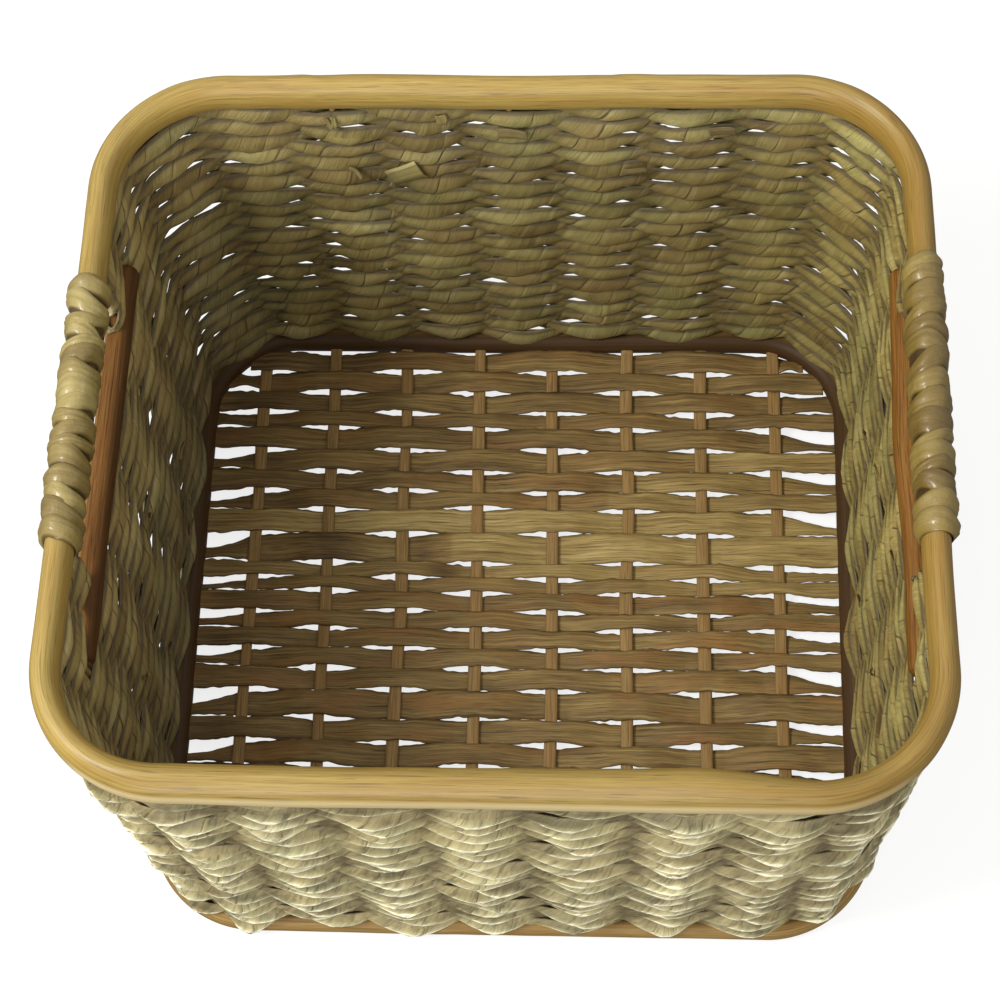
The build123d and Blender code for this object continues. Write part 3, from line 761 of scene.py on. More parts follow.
def where_from_line(l, P, lean, N_out, hh, ht, tone, side, closed, length):
    """Interpolating reader for strand(): section axes from the line's own tangent."""
    if closed:
        Pn = np.concatenate([P, P[:1]])
        ln = np.append(l, length)
    else:
        Pn, ln = P, l
    if closed:
        prev, nxt = np.roll(P, 1, 0), np.roll(P, -1, 0)
        T = norm(nxt - prev)
    else:
        T = norm(np.gradient(P, axis=0))
    Z = np.array([0, 0, 1.0])
    B = Z - lean[:, None] * N_out
    B = norm(B - (B * T).sum(1, keepdims=True) * T)
    N = norm(np.cross(T, B))

    def ext(a):
        return np.concatenate([a, a[:1]]) if closed else a

    arrs = [ext(P), ext(N), ext(B), ext(N_out)]
    scal = [ext(ht), ext(hh), ext(tone), ext(side)]

    def where(q):
        if closed:
            q = np.mod(q, length)
        vec = [np.stack([np.interp(q, ln, a[:, j]) for j in range(3)], 1) for a in arrs]
        sc = [np.interp(q, ln, a) for a in scal]
        return (vec[0], norm(vec[1]), norm(vec[2]), sc[0], sc[1], sc[2], sc[3], norm(vec[3]))
    return where


def full_course(k):
    rng = np.random.default_rng(9000 + k)
    u = np.arange(0, PERIM, 1.2)
    phi, c, w, z, hh, ht, lean = course_profile(k, u)
    wob = smooth_noise(rng, u, 14.0, PERIM)
    P, Nn = plan(u, z + 0.22 * wob, w + 0.18 * smooth_noise(rng, u, 11.0, PERIM))
    d = np.linalg.norm(np.roll(P, -1, 0) - P, axis=1)
    l = np.concatenate([[0], np.cumsum(d)[:-1]])
    length = float(d.sum())
    tone = np.clip(from_table(T_TONE, k, phi) + 0.08 * smooth_noise(rng, u, 20.0, PERIM), 0, 1)
    side = w
    hh = hh * (1 + 0.04 * smooth_noise(rng, u, 10.0, PERIM))
    where = where_from_line(l, P, lean, Nn, hh, ht, tone, side, True, length)
    bag = Bag()
    strand(bag, rng, length, True, where)
    ob = bag.build(f"weave_course_{k + 1:02d}", MAT_WEAVE)
    return ob


def split_courses(name, i0, i1):
    """Courses beside the hand holds: one strand that turns back round the edge stakes."""
    ks = list(range(FIRST_SPLIT, COURSES))
    rng = np.random.default_rng(sum(map(ord, name)))
    u0 = STAKES[i0] - (PERIM if i0 > i1 else 0)
    u1 = STAKES[i1]
    pts = []                                       # P, lean*, N, hh, ht, tone, side
    forward = True
    for n, k in enumerate(ks):
        u = np.arange(u0, u1 + 0.6, 1.2)
        phi, c, w, z, hh, ht, lean = course_profile(k, u)
        P, Nn = plan(u, z + 0.22 * smooth_noise(rng, u, 14.0), w)
        tone = np.clip(from_table(T_TONE, k, phi) + 0.08 * smooth_noise(rng, u, 20.0), 0, 1)
        hh = hh * (1 + 0.04 * smooth_noise(rng, u, 10.0))
        rows = np.column_stack([P, lean, Nn, hh, ht, tone, w])
        if not forward:
            rows = rows[::-1]
        pts.append(rows)
        if n + 1 < len(ks):                        # round the edge stake to the next course
            ue = u1 if forward else u0
            out = 1.0 if forward else -1.0
            ua = np.array([ue])
            _, ca, wa, za, ha, ta, la = course_profile(k, ua)
            _, cb, wb, zb, hb, tb, lb = course_profile(ks[n + 1], ua)
            psi = np.linspace(0, math.pi, 13)[1:-1]
            base, Nb = plan(ua, za, 0.0)
            ahead, _ = plan(ua + out, za, 0.0)
            back_, _ = plan(ua - out, za, 0.0)
            Tn = norm(ahead - back_)[0]
            s = np.sign(wa[0])
            rad = abs(wa[0]) * (1 - psi / math.pi) + abs(wb[0]) * psi / math.pi
            zz = za[0] + (zb[0] - za[0]) * (psi / math.pi)
            slack = {29: 2.3, 31: 1.7, 33: 1.35}.get(k, 1.15) if (name == "weave_upper_back" and forward) else 1.15
            Pq = base[0] + (rad * np.cos(psi) * s)[:, None] * Nb[0] + (rad * slack * np.sin(psi))[:, None] * Tn
            Pq[:, 2] = zz
            tone_q = np.full(len(psi), pts[-1][-1, 9])
            hq = ha[0] + (hb[0] - ha[0]) * psi / math.pi
            hq = hq * (1 - 0.38 * np.sin(psi))
            Nq = np.tile(Nb[0], (len(psi), 1))
            mixp = psi / math.pi
            pts.append(np.column_stack([Pq, la[0] * (1 - mixp) + lb[0] * mixp, Nq, hq, ta[0] * (1 - mixp) + tb[0] * mixp,
                                        tone_q, rad * np.cos(psi) * s + 1.5]))
        forward = not forward
    rows = np.concatenate(pts)
    keep = np.concatenate([[True], np.linalg.norm(np.diff(rows[:, :3], axis=0), axis=1) > 0.15])
    rows = rows[keep]
    P = rows[:, :3]
    l = np.concatenate([[0], np.cumsum(np.linalg.norm(np.diff(P, axis=0), axis=1))])
    where = where_from_line(l, P, rows[:, 3], rows[:, 4:7], rows[:, 7], rows[:, 8], rows[:, 9], rows[:, 10], False, l[-1])
    bag = Bag()
    strand(bag, rng, float(l[-1]), False, where, kink=0.2)
    ob = bag.build(name, MAT_WEAVE)
    return ob


for k in range(FIRST_SPLIT):
    full_course(k)
front_upper = split_courses("weave_upper_front", I_LEFT_FRONT, I_RIGHT_FRONT)
back_upper = split_courses("weave_upper_back", I_RIGHT_BACK, I_LEFT_BACK)

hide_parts("front_wall_weave", "back_wall_weave", "left_wall_weave", "right_wall_weave",
            "front_left_corner_weave", "front_right_corner_weave", "back_left_corner_weave", "back_right_corner_weave")
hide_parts("left_wall_weave_front_shoulder", "right_wall_weave_front_shoulder")
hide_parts("left_wall_weave_back_shoulder", "right_wall_weave_back_shoulder")


# ---------------------------------------------------------------------------
# poles
# ---------------------------------------------------------------------------
def rounded_rect(hx, hy, r, step=2.5, z=0.0):
    """Closed centre line starting in the middle of the left side, under the binding."""
    fx, fy = hx - r, hy - r
    pts, nrm = [], []

    def line(a, b, n):
        m = max(2, int(np.hypot(b[0] - a[0], b[1] - a[1]) / step))
        for q in np.arange(m) / m:
            pts.append((a[0] + (b[0] - a[0]) * q, a[1] + (b[1] - a[1]) * q))
            nrm.append(n)

    def arc(c, a0):
        m = max(8, int(r * math.pi / 2 / step))
        for q in np.arange(m) / m:
            a = math.radians(a0 + 90 * q)
            pts.append((c[0] + r * math.cos(a), c[1] + r * math.sin(a)))
            nrm.append((math.cos(a), math.sin(a)))

    line((-hx, 0), (-hx, -fy), (-1, 0)); arc((-fx, -fy), 180)
    line((-fx, -hy), (fx, -hy), (0, -1)); arc((fx, -fy), 270)
    line((hx, -fy), (hx, fy), (1, 0)); arc((fx, fy), 0)
    line((fx, hy), (-fx, hy), (0, 1)); arc((-fx, fy), 90)
    line((-hx, fy), (-hx, 0), (-1, 0))
    p = np.array(pts)
    n = np.array(nrm)
    return (np.column_stack([p, np.full(len(p), z)]), np.column_stack([n, np.zeros(len(n))]))


def pole_loop(name, hx, hy, r, z, a, b, mat, seed, around=28, wob=0.35, floor=None, power=1.0, shape=None):
    rng = np.random.default_rng(seed)
    P, N = rounded_rect(hx, hy, r, 2.5, z)
    d = np.linalg.norm(np.roll(P, -1, 0) - P, axis=1)
    l = np.concatenate([[0], np.cumsum(d)[:-1]])
    L = float(d.sum())
    P = P + N * (wob * smooth_noise(rng, l, 70.0, L))[:, None]
    P[:, 2] += wob * smooth_noise(rng, l, 80.0, L)
    fat = 1 + 0.012 * smooth_noise(rng, l, 45.0, L) + 0.006 * smooth_noise(rng, l, 12.0, L)
    th = 2 * np.pi * np.arange(around) / around
    c, s = np.cos(th), np.sin(th)
    c = np.sign(c) * np.abs(c) ** power
    s = np.sign(s) * np.abs(s) ** power
    facet = 1 + 0.010 * smooth_noise(rng, th / (2 * np.pi) * 10, 1.0, 10.0)
    rad = np.ones((len(P), around)) * fat[:, None] * facet[None, :]
    if shape is not None:
        rad = rad + shape(P, l, th)
    V = P[:, None, :] + N[:, None, :] * (a * rad * c)[..., None] + np.array([0, 0, 1.0]) * (b * rad * s)[..., None]
    if floor is not None:
        V[..., 2] = np.maximum(V[..., 2], floor)
    rows = len(P)
    faces = ribbon_faces(rows, around, closed_rows=True)
    us = np.append(l, L)
    vs = np.arange(around + 1) / around
    uv = tube_uv(us, vs)
    tone = np.tile([0.5, 0.5, 0.5, 1.0], (len(uv), 1))
    tone[:, 2] = 0.5 + 0.5 * np.cos(2 * np.pi * uv[:, 1])
    return make_object(name, V.reshape(-1, 3), faces, uv, tone, mat)


def scarf_shape(P, l, th):
    """Slight steps where the pole's ends overlap in a long scarf on the back side."""
    out = np.zeros((len(P), len(th)))
    back = P[:, 1] > 150
    x = P[:, 0]
    for x0, x1, h, a0 in ((-112.0, -78.0, 0.055, 1.35), (44.0, 74.0, -0.05, 1.25)):
        run = np.clip((x - x0) / (x1 - x0), 0, 1)
        lim = a0 + (run - 0.5) * 2.2
        inside = back & (x > x0) & (x < x1)
        step = 1 / (1 + np.exp(-(th[None, :] - lim[:, None]) * 16))
        out += np.where(inside[:, None], h * (step - 0.5) * np.sin(math.pi * run)[:, None], 0)
    # the pole is stoutest along the front, growing towards the inside
    front = np.clip((-P[:, 1] - 120) / 60, 0, 1) * np.clip((152 - P[:, 0]) / 60, 0, 1) * np.clip((P[:, 0] + 195) / 60, 0, 1)
    front = front * front * (3 - 2 * front)
    more = np.interp(P[:, 0], [-150, -60, 20, 90, 130], [0.46, 0.46, 0.52, 0.70, 0.60])
    out += (front * more)[:, None] * np.clip(-np.cos(th) + 0.25 * np.sin(th), 0, 1)[None, :] ** 0.8
    return out


rim = pole_loop("rim_rattan_pole", RIM_HX, RIM_HY, RIM_R, RIM_Z, RIM_A, RIM_B, MAT_RIM, 31, 32, 0.45, shape=scarf_shape)
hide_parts("rim_pole")
base = pole_loop("base_rattan_pole", BASE_HX, BASE_HY, BASE_R, BASE_T / 2 + 0.1, 7.0, 7.0, MAT_BASE, 77, 24, 0.25, floor=0.0, power=0.93)
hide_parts("base_frame_pole")


def straight_pole(name, node, mat, seed, around=20, wob=0.5):
    rng = np.random.default_rng(seed)
    lo_, hi_ = cad(node)
    c0 = (lo_ + hi_) / 2
    r = (hi_[0] - lo_[0]) / 2
    ys = np.linspace(lo_[1], hi_[1], 110)
    P = np.column_stack([np.full_like(ys, c0[0]), ys, np.full_like(ys, c0[2])])
    P[:, 0] += wob * smooth_noise(rng, ys, 60.0)
    P[:, 2] += wob * smooth_noise(rng, ys, 60.0)
    th = 2 * np.pi * np.arange(around) / around
    fat = 1 + 0.02 * smooth_noise(rng, ys, 25.0)
    taper = np.minimum(1, 0.82 + np.minimum(ys - ys[0], ys[-1] - ys) / 12.0)
    facet = 1 + 0.02 * smooth_noise(rng, th / (2 * np.pi) * 7, 1.0, 7.0)
    rad = r * (fat * taper)[:, None] * facet[None, :]
    V = P[:, None, :].repeat(around, 1)
    V[..., 0] += rad * np.cos(th)
    V[..., 2] += rad * np.sin(th)
    rows = len(ys)
    faces = ribbon_faces(rows, around)
    uv = tube_uv(ys - ys[0], np.arange(around + 1) / around)
    V = V.reshape(-1, 3)
    n = len(V)
    caps = np.array([P[0], P[-1]])
    V = np.concatenate([V, caps])
    cuv = []
    for i in range(around):
        j = (i + 1) % around
        faces.append((n, j, i))
        faces.append((n + 1, (rows - 1) * around + i, (rows - 1) * around + j))
        cuv += [(0, 0.5)] * 6
    uv = np.concatenate([uv, np.array(cuv)])
    tone = np.tile([0.5, 0.5, 0.5, 1.0], (len(uv), 1))
    tone[:, 2] = 0.5 + 0.5 * np.sign(c0[0]) * np.cos(2 * np.pi * uv[:, 1])
    ob = make_object(name, V, faces, uv, tone, mat)
    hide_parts(node)
    return ob


straight_pole("left_cane_bar", "left_handle_bar", MAT_BAR, 5)
straight_pole("right_cane_bar", "right_handle_bar", MAT_BAR, 6)


# ---------------------------------------------------------------------------
# leaf bindings at the hand holds
# ---------------------------------------------------------------------------
def binding(name, node, seed, turns):
    """Leaf wound round the rim: overlapping bulged turns over a plain under-layer."""
    rng = np.random.default_rng(seed)
    lo_, hi_ = cad(node)
    cx, cz = (lo_[0] + hi_[0]) / 2, (lo_[2] + hi_[2]) / 2
    full = (hi_[0] - lo_[0]) / 2 - RIM_A             # build-up of the CAD binding
    y0, y1 = lo_[1] + 1.0, hi_[1] - 1.0
    into = 1.0 if cx < 0 else -1.0                   # +1 where the basket's inside is at +x
    widths = np.clip(rng.normal(1.0, 0.20, turns), 0.65, 1.45)
    cuts = y0 + np.concatenate([[0], np.cumsum(widths)]) / widths.sum() * (y1 - y0)
    bag = Bag()

    # under-layer, coloured dark as painted shade where it shows in the gaps between turns
    ys = np.arange(y0 + 1.5, y1 - 1.4, 3.0)
    th = 2 * np.pi * np.arange(28) / 28
    rr = 0.9 + 0.15 * smooth_noise(rng, ys, 9.0)
    V = np.stack([cx + (RIM_A + rr[:, None]) * np.cos(th), np.broadcast_to(ys[:, None], (len(ys), 28)),
                  cz + (RIM_B + rr[:, None]) * np.sin(th)], -1)
    faces = ribbon_faces(len(ys), 28)
    uv = tube_uv(ys, np.arange(29) / 28)
    faces += [tuple(range(28))[::-1], tuple((len(ys) - 1) * 28 + q for q in range(28))]
    uv = np.concatenate([uv, np.full((56, 2), 0.5)])
    bag.add(V.reshape(-1, 3), faces, uv, np.tile([0.0, 0.2, 0.0, 1.0], (len(uv), 1)))

    na, ns = 64, 13
    s = np.linspace(-0.5, 0.5, ns)
    ph = np.linspace(0, 1, na)
    for j in range(turns):
        a0, a1 = cuts[j], cuts[j + 1]
        pitch = a1 - a0
        width = pitch * rng.uniform(1.28, 1.60)
        mid = (a0 + a1) / 2
        th = -math.pi / 2 + 2 * math.pi * ph              # starts and ends under the rim
        TH2, S2 = np.meshgrid(th, s, indexing="ij")
        inward = np.cos(TH2) * into
        narrow = 1 - rng.uniform(0.12, 0.42) * np.clip(inward, 0, 1) ** 1.5 - rng.uniform(0.0, 0.40) * np.clip(-inward, 0, 1) ** 3
        Y = mid + (ph[:, None] - 0.5) * pitch * -into * 0.4 + S2 * width * narrow
        Y = Y - rng.normal(1.2, 2.4) * inward + rng.normal(0, 1.0) * np.sin(TH2) + rng.normal(0, 0.7) * np.cos(2 * TH2 + rng.uniform(0, 6))
        # the leaf's edges are not straight
        Y = Y + 0.5 * np.sin(TH2 * 3 + rng.uniform(0, 6)) * np.abs(2 * S2)
        Y = np.clip(Y, y0 - 0.6, y1 + 0.6)
        crown = (1 - np.abs(2 * S2) ** 2.8) ** 0.8
        up = 0.70 + 1.10 * (S2 + 0.5) + (full - 1.9) * (0.66 + 0.34 * rng.random()) * crown
        up = up + 0.30 * np.sin(TH2 * 2 + rng.uniform(0, 6)) * crown + 0.22 * np.sin(TH2 * 5 + rng.uniform(0, 6) + 4 * S2) * crown
        up = up + 0.14 * np.sin(S2 * 19 + rng.uniform(0, 6) + 2 * np.sin(TH2 + rng.uniform(0, 6)))
        # a crease or two along the folded leaf
        c0 = rng.uniform(-0.25, 0.25)
        up = up - 0.45 * np.exp(-((S2 - c0 - 0.10 * np.sin(TH2 + rng.uniform(0, 6))) / 0.05) ** 2)
        curl = rng.uniform(0.0, 1.1)
        up = up + curl * np.clip(2 * S2 - 0.55, 0, 1) * np.clip(-inward, 0, 1) * 1.3
        endt = np.minimum((Y - (y0 - 0.6)), ((y1 + 0.6) - Y))
        up = np.clip(up, 0.4, full + 0.7) * np.clip(0.40 + endt / 6.0, 0.40, 1.0)

        def pos(h):
            return np.stack([cx + (RIM_A + h) * np.cos(TH2), Y, cz + (RIM_B + h) * np.sin(TH2)], -1)
        top, bot = pos(up), pos(np.maximum(up - 0.5, 0.12))
        ring = np.concatenate([top, bot[:, ::-1]], 1)     # closed section across the leaf
        cols = 2 * ns
        V = ring.reshape(-1, 3)
        faces = []
        for a in range(na - 1):
            for i in range(cols):
                k2 = (i + 1) % cols
                faces.append((a * cols + i, (a + 1) * cols + i, (a + 1) * cols + k2, a * cols + k2))
        vv = np.concatenate([s + 0.5, (s + 0.5)[::-1]])
        vv = np.append(vv, vv[0])
        uu = ph * 62 + j * 70
        uv = []
        for a in range(na - 1):
            for i in range(cols):
                uv += [(uu[a], vv[i]), (uu[a + 1], vv[i]), (uu[a + 1], vv[i + 1]), (uu[a], vv[i + 1])]
        for end, flip in ((0, False), (na - 1, True)):
            idx = [end * cols + i for i in range(cols)]
            faces.append(tuple(idx if not flip else idx[::-1]))
            uv += [(uu[end], 0.5)] * cols
        tn = rng.random()
        bag.add(V, faces, np.array(uv), np.tile([tn, rng.random(), 0.5, 1.0], (len(uv), 1)))
    ob = bag.build(name, MAT_LEAF)
    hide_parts(node)
    return ob


binding("left_leaf_binding", "left_handle_wrap", 12, 17)
binding("right_leaf_binding", "right_handle_wrap", 23, 16)


# ---------------------------------------------------------------------------
# floor
# ---------------------------------------------------------------------------
RIBS = []
for i in range(1, 9):
    lo_, hi_ = cad(f"floor_rib_{i}")
    RIBS.append(((lo_[0] + hi_[0]) / 2, hi_[0] - lo_[0], lo_[1], hi_[1], lo_[2], hi_[2]))
RIB_X = np.array([r[0] for r in RIBS])
RIB_MID = (RIBS[0][4] + RIBS[0][5]) / 2
RIB_HT = (RIBS[0][5] - RIBS[0][4]) / 2
RIB_FAR = np.array([-1.5, -4.2, -3.8, -3.0, -2.6, -1.7, -1.1, -1.3])    # how far each rib's ends stray
RIB_NEAR = np.array([0.9, 2.2, -1.1, 1.7, 1.4, 0.6, 1.7, 1.4])


def rib_shift(y):
    """Sideways stray of the eight ribs at depth y."""
    t_ = np.clip(np.asarray(y, float) / 165.0, -1, 1)[..., None]
    return np.where(t_ > 0, t_ * RIB_FAR, -t_ * RIB_NEAR)


for i, (x, wdt, y0, y1, z0, z1) in enumerate(RIBS, 1):
    rng = np.random.default_rng(300 + i)
    ys = np.arange(y0 - 3.0, y1 + 3.0, 3.0)
    th = 2 * np.pi * np.arange(14) / 14
    c, s = np.cos(th), np.sin(th)
    c = np.sign(c) * np.abs(c) ** 0.45
    s = np.sign(s) * np.abs(s) ** 0.8
    xs = x + 0.4 * smooth_noise(rng, ys, 60.0) + rib_shift(ys)[:, i - 1]
    half = 3.45 * (1 + 0.05 * smooth_noise(rng, ys, 35.0))
    V = np.stack([xs[:, None] + half[:, None] * c, np.broadcast_to(ys[:, None], (len(ys), 14)),
                  np.full((len(ys), 14), RIB_MID) + RIB_HT * s], -1)
    faces = ribbon_faces(len(ys), 14)
    uv = tube_uv(ys - ys[0] + 500 * i, np.arange(15) / 14)
    faces = [f[::-1] for f in faces]
    uv = uv.reshape(-1, 4, 2)[:, ::-1].reshape(-1, 2)
    faces += [tuple(range(14))[::-1], tuple((len(ys) - 1) * 14 + q for q in range(14))]
    uv = np.concatenate([uv, np.zeros((28, 2))])
    tone = np.tile([rng.random(), 0.5, 0.5, 1.0], (len(uv), 1))
    ob = make_object(f"floor_cane_rib_{i}", V.reshape(-1, 3), faces, uv, tone, MAT_RIB)
    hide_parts(f"floor_rib_{i}")

SPL = []
j = 1
while f"floor_splint_{j:02d}" in NODES:
    lo_, hi_ = cad(f"floor_splint_{j:02d}")
    SPL.append((hi_[1], lo_[1]))
    j += 1
NSPL = len(SPL)
EDGES = [SPL[0][0]] + [(SPL[q][1] + SPL[q + 1][0]) / 2 for q in range(NSPL - 1)] + [SPL[-1][1]]
END_X = BASE_HX - 4.0
xs = np.arange(-END_X, END_X + 0.1, 1.25)
edge_rng = np.random.default_rng(64)
EDGE_Y, EDGE_GAP = [], []
for q, e in enumerate(EDGES):
    rx = RIB_X + rib_shift(e)
    near_rib = np.min(np.abs(xs[:, None] - rx[None, :]), axis=1)
    if q == 0:
        e = e + 2.0
    y = e + 0.55 * smooth_noise(edge_rng, xs, 55.0) + 0.22 * smooth_noise(edge_rng, xs, 14.0)
    size = np.array([edge_rng.uniform(0.45, 1.45) for _ in RIB_X])
    reach = np.array([edge_rng.uniform(14.0, 25.0) for _ in RIB_X])
    nearest = np.argmin(np.abs(xs[:, None] - rx[None, :]), axis=1)
    gap = 0.16 + 1.75 * size[nearest] * np.clip(1 - near_rib / reach[nearest], 0, 1)
    gap = gap + 0.30 * smooth_noise(edge_rng, xs, 3.2) * (gap > 0.35)
    EDGE_Y.append(y)
    EDGE_GAP.append(np.maximum(gap, 0.12))
SPLINT_TONE = [0.36, 0.40, 0.36, 0.40, 0.38, 0.44, 0.42, 0.40, 0.70, 0.50, 0.56, 0.44, 0.38, 0.40, 0.42,
               0.42, 0.44, 0.40, 0.42, 0.42, 0.36, 0.40, 0.46, 0.40, 0.42, 0.42]
SPLINT_WARM = [0.3, 0.3, 0.2, 0.3, 0.5, 0.2, 0.3, 0.5, 0.0, 0.1, 0.0, 0.5, 0.6, 0.7, 1.0, 1.0, 0.9, 1.0, 0.8, 0.7, 0.3, 0.2,
               0.3, 0.4, 0.1, 0.1]


def splint_tone_along(q, x):
    """Splints are joined from pieces: tone and warmth change along some of them."""
    tone_ = np.full_like(x, SPLINT_TONE[q % 26])
    warm_ = np.full_like(x, SPLINT_WARM[q % 26])
    right_ = np.clip((x - {5: 105, 6: 60, 7: 48, 8: 30, 9: -40, 10: 10, 11: 70}.get(q, 999)) / 3.0, 0, 1)
    tone_ = tone_ + right_ * {5: 0.20, 6: 0.16, 7: 0.14, 8: -0.04, 9: 0.14, 10: 0.04, 11: 0.10}.get(q, 0)
    warm_ = warm_ * (1 - 0.7 * right_)
    if q == 9:                                       # dark stained length on the left
        tone_ = tone_ - 0.34 * np.exp(-((x + 108) / 20.0) ** 2) - 0.20 * np.exp(-((x + 55) / 9.0) ** 2)
    if q == 10:
        tone_ = tone_ - 0.30 * np.exp(-((x + 42) / 12.0) ** 2)
    if q == 24:
        tone_ = tone_ + 0.34 * np.clip((x - 118) / 2.0, 0, 1)
    # painted shadow: every splint darker towards its left end, in the left wall's shadow
    tone_ = tone_ - 0.16 * np.clip((-x - 120) / 40.0, 0, 1)
    return tone_, warm_


def hoop_reach(y):
    """How far sideways the hoop's middle line lies at depth y."""
    over = max(0.0, abs(y) - (BASE_HY - BASE_R))
    return BASE_HX - BASE_R + math.sqrt(max(0.0, BASE_R ** 2 - over ** 2)) - (2.0 if over > 0 else 4.0)


ALL_XS = xs
for q in range(NSPL):
    rng = np.random.default_rng(700 + q)
    y_far = max(abs(EDGES[q]), abs(EDGES[q + 1]))
    END_X = hoop_reach(min(y_far, BASE_HY - 2.0))
    keep = np.abs(ALL_XS) <= END_X + 1e-6
    xs = ALL_XS[keep]
    over_even = q % 2 == 1
    sign = np.where(over_even, 1.0, -1.0)
    rx = RIB_X + rib_shift((EDGES[q] + EDGES[q + 1]) / 2)
    rib_phase = np.interp(xs, np.concatenate([[rx[0] - 42.3], rx, [rx[-1] + 42.3]]), np.arange(0, 10))
    wave = np.cos(np.pi * rib_phase) * sign
    wave = np.clip(1.35 * wave, -1, 1)
    rise = RIB_HT + 0.85
    zc = RIB_MID + rise * wave
    y_hi = (EDGE_Y[q] - EDGE_GAP[q] * 0.5)[keep]
    y_lo = (EDGE_Y[q + 1] + EDGE_GAP[q + 1] * 0.5)[keep]
    yc, wd = (y_hi + y_lo) / 2, y_hi - y_lo
    twist = np.zeros_like(xs)
    for end, rib_i in ((-1, 0), (1, 7)):
        x0 = abs(RIB_X[rib_i]) - 3.0
        e = np.clip((end * xs - x0) / max(END_X - x0 - 3.0, 6.0), 0, 1)
        sm = e * e * (3 - 2 * e)
        up_here = wave[np.argmin(np.abs(xs - RIB_X[rib_i]))] > 0
        if up_here:                                   # over the last rib, flat into the hoop
            grow = rng.uniform(0.2, 0.9)
            wd = wd + grow * sm
            zc = zc * (1 - e) + e * (RIB_MID + 0.7)
        else:                                         # under it, pinched and twisted at the hoop
            pinch = rng.uniform(0.45, 0.68) if q > 3 else 0.04
            full_w = y_hi - y_lo
            wd = wd - full_w * pinch * sm
            yc = yc - full_w * (0.5 * pinch - rng.uniform(0.02, 0.10)) * sm
            twist = twist - rng.uniform(0.25, 0.85) * np.sin(math.pi * np.clip(e * 0.9, 0, 1)) * sm ** 0.5
            zc = zc * (1 - e) + e * (RIB_MID - 0.2)
    ns = 9
    s = np.linspace(-0.5, 0.5, ns)
    crown = 0.28 * (1 - (2 * s) ** 2)
    th_half = 0.45
    cup = smooth_noise(rng, xs, 40.0) * 0.35
    ragged = 0.26 * np.stack([smooth_noise(rng, xs, 3.5), smooth_noise(rng, xs, 3.5)], 0)
    across = s[None, :] * wd[:, None]
    across[:, 0] += ragged[0]
    across[:, -1] += ragged[1]
    lift = crown[None, :] + cup[:, None] * (2 * s[None, :]) ** 2 * 0.5
    ct, st = np.cos(twist)[:, None], np.sin(twist)[:, None]

    def surf(h):
        yy = yc[:, None] + across * ct - (lift + h) * st
        zz = zc[:, None] + across * st + (lift + h) * ct
        return np.stack([np.broadcast_to(xs[:, None], yy.shape), yy, zz], -1)
    ring = np.concatenate([surf(th_half), surf(-th_half)[:, ::-1]], 1)
    ring[..., 2] = np.clip(ring[..., 2], 1.2, 13.5)
    cols = 2 * ns
    rows = len(xs)
    faces = ribbon_faces(rows, cols)
    vv = np.concatenate([s + 0.5, (s + 0.5)[::-1]])
    vv = np.append(vv, vv[0])
    uv = tube_uv(xs + 600 * q, vv)
    faces += [tuple(range(cols))[::-1], tuple((rows - 1) * cols + i for i in range(cols))]
    uv = np.concatenate([uv, np.full((2 * cols, 2), 0.5)])
    tone = np.tile([rng.random(), 0.5, 0.5, 1.0], (len(uv), 1))
    tone[:, 1], tone[:, 2] = splint_tone_along(q, uv[:, 0] - 600 * q)
    ob = make_object(f"floor_flat_splint_{q + 1:02d}", ring.reshape(-1, 3), faces, uv, tone, MAT_SPLINT)
    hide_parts(f"floor_splint_{q + 1:02d}")

# ---------------------------------------------------------------------------
# stakes: thin canes standing inside the weave
# ---------------------------------------------------------------------------
STAKE_SETS = {"front_wall_stakes": range(0, 7), "right_wall_stakes": range(9, 14), "back_wall_stakes": range(16, 23),
              "left_wall_stakes": range(25, 30), "corner_wall_stakes": (7, 8, 14, 15, 23, 24, 30, 31)}
for node, members in STAKE_SETS.items():
    bag = Bag()
    for i in members:
        rng = np.random.default_rng(1200 + i)
        in_hold = (I_RIGHT_FRONT < i < I_RIGHT_BACK) or (I_LEFT_BACK < i < I_LEFT_FRONT)
        zs = np.arange(11.0, (BAR_Z - BAR_R + 1.0) if in_hold else 237.1, 4.0)
        off = np.where(zs < 22, -0.6, 0.0) + 0.15 * smooth_noise(rng, zs, 40.0)
        P, Nn = plan(np.full_like(zs, STAKES[i]), zs, off)
        Tn = np.cross([0, 0, 1.0], Nn)
        ring = 12
        th = 2 * np.pi * np.arange(ring) / ring
        r = 1.75 * (1 + 0.04 * smooth_noise(rng, zs, 20.0)) * np.where(zs > 230, 0.92, 1.0)
        V = P[:, None, :] + r[:, None, None] * (np.cos(th)[None, :, None] * Nn[:, None, :] + np.sin(th)[None, :, None] * Tn[:, None, :])
        faces = [f[::-1] for f in ribbon_faces(len(zs), ring)]
        uv = tube_uv(zs + 300 * i, np.arange(ring + 1) / ring).reshape(-1, 4, 2)[:, ::-1].reshape(-1, 2)
        faces += [tuple(range(ring)), tuple((len(zs) - 1) * ring + q for q in range(ring))[::-1]]
        uv = np.concatenate([uv, np.zeros((2 * ring, 2))])
        bag.add(V.reshape(-1, 3), faces, uv, np.tile([rng.random(), 0.5, 0.5, 1.0], (len(uv), 1)))
    ob = bag.build(node.replace("wall_stakes", "cane_stakes"), MAT_STAKE)
    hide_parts(node)

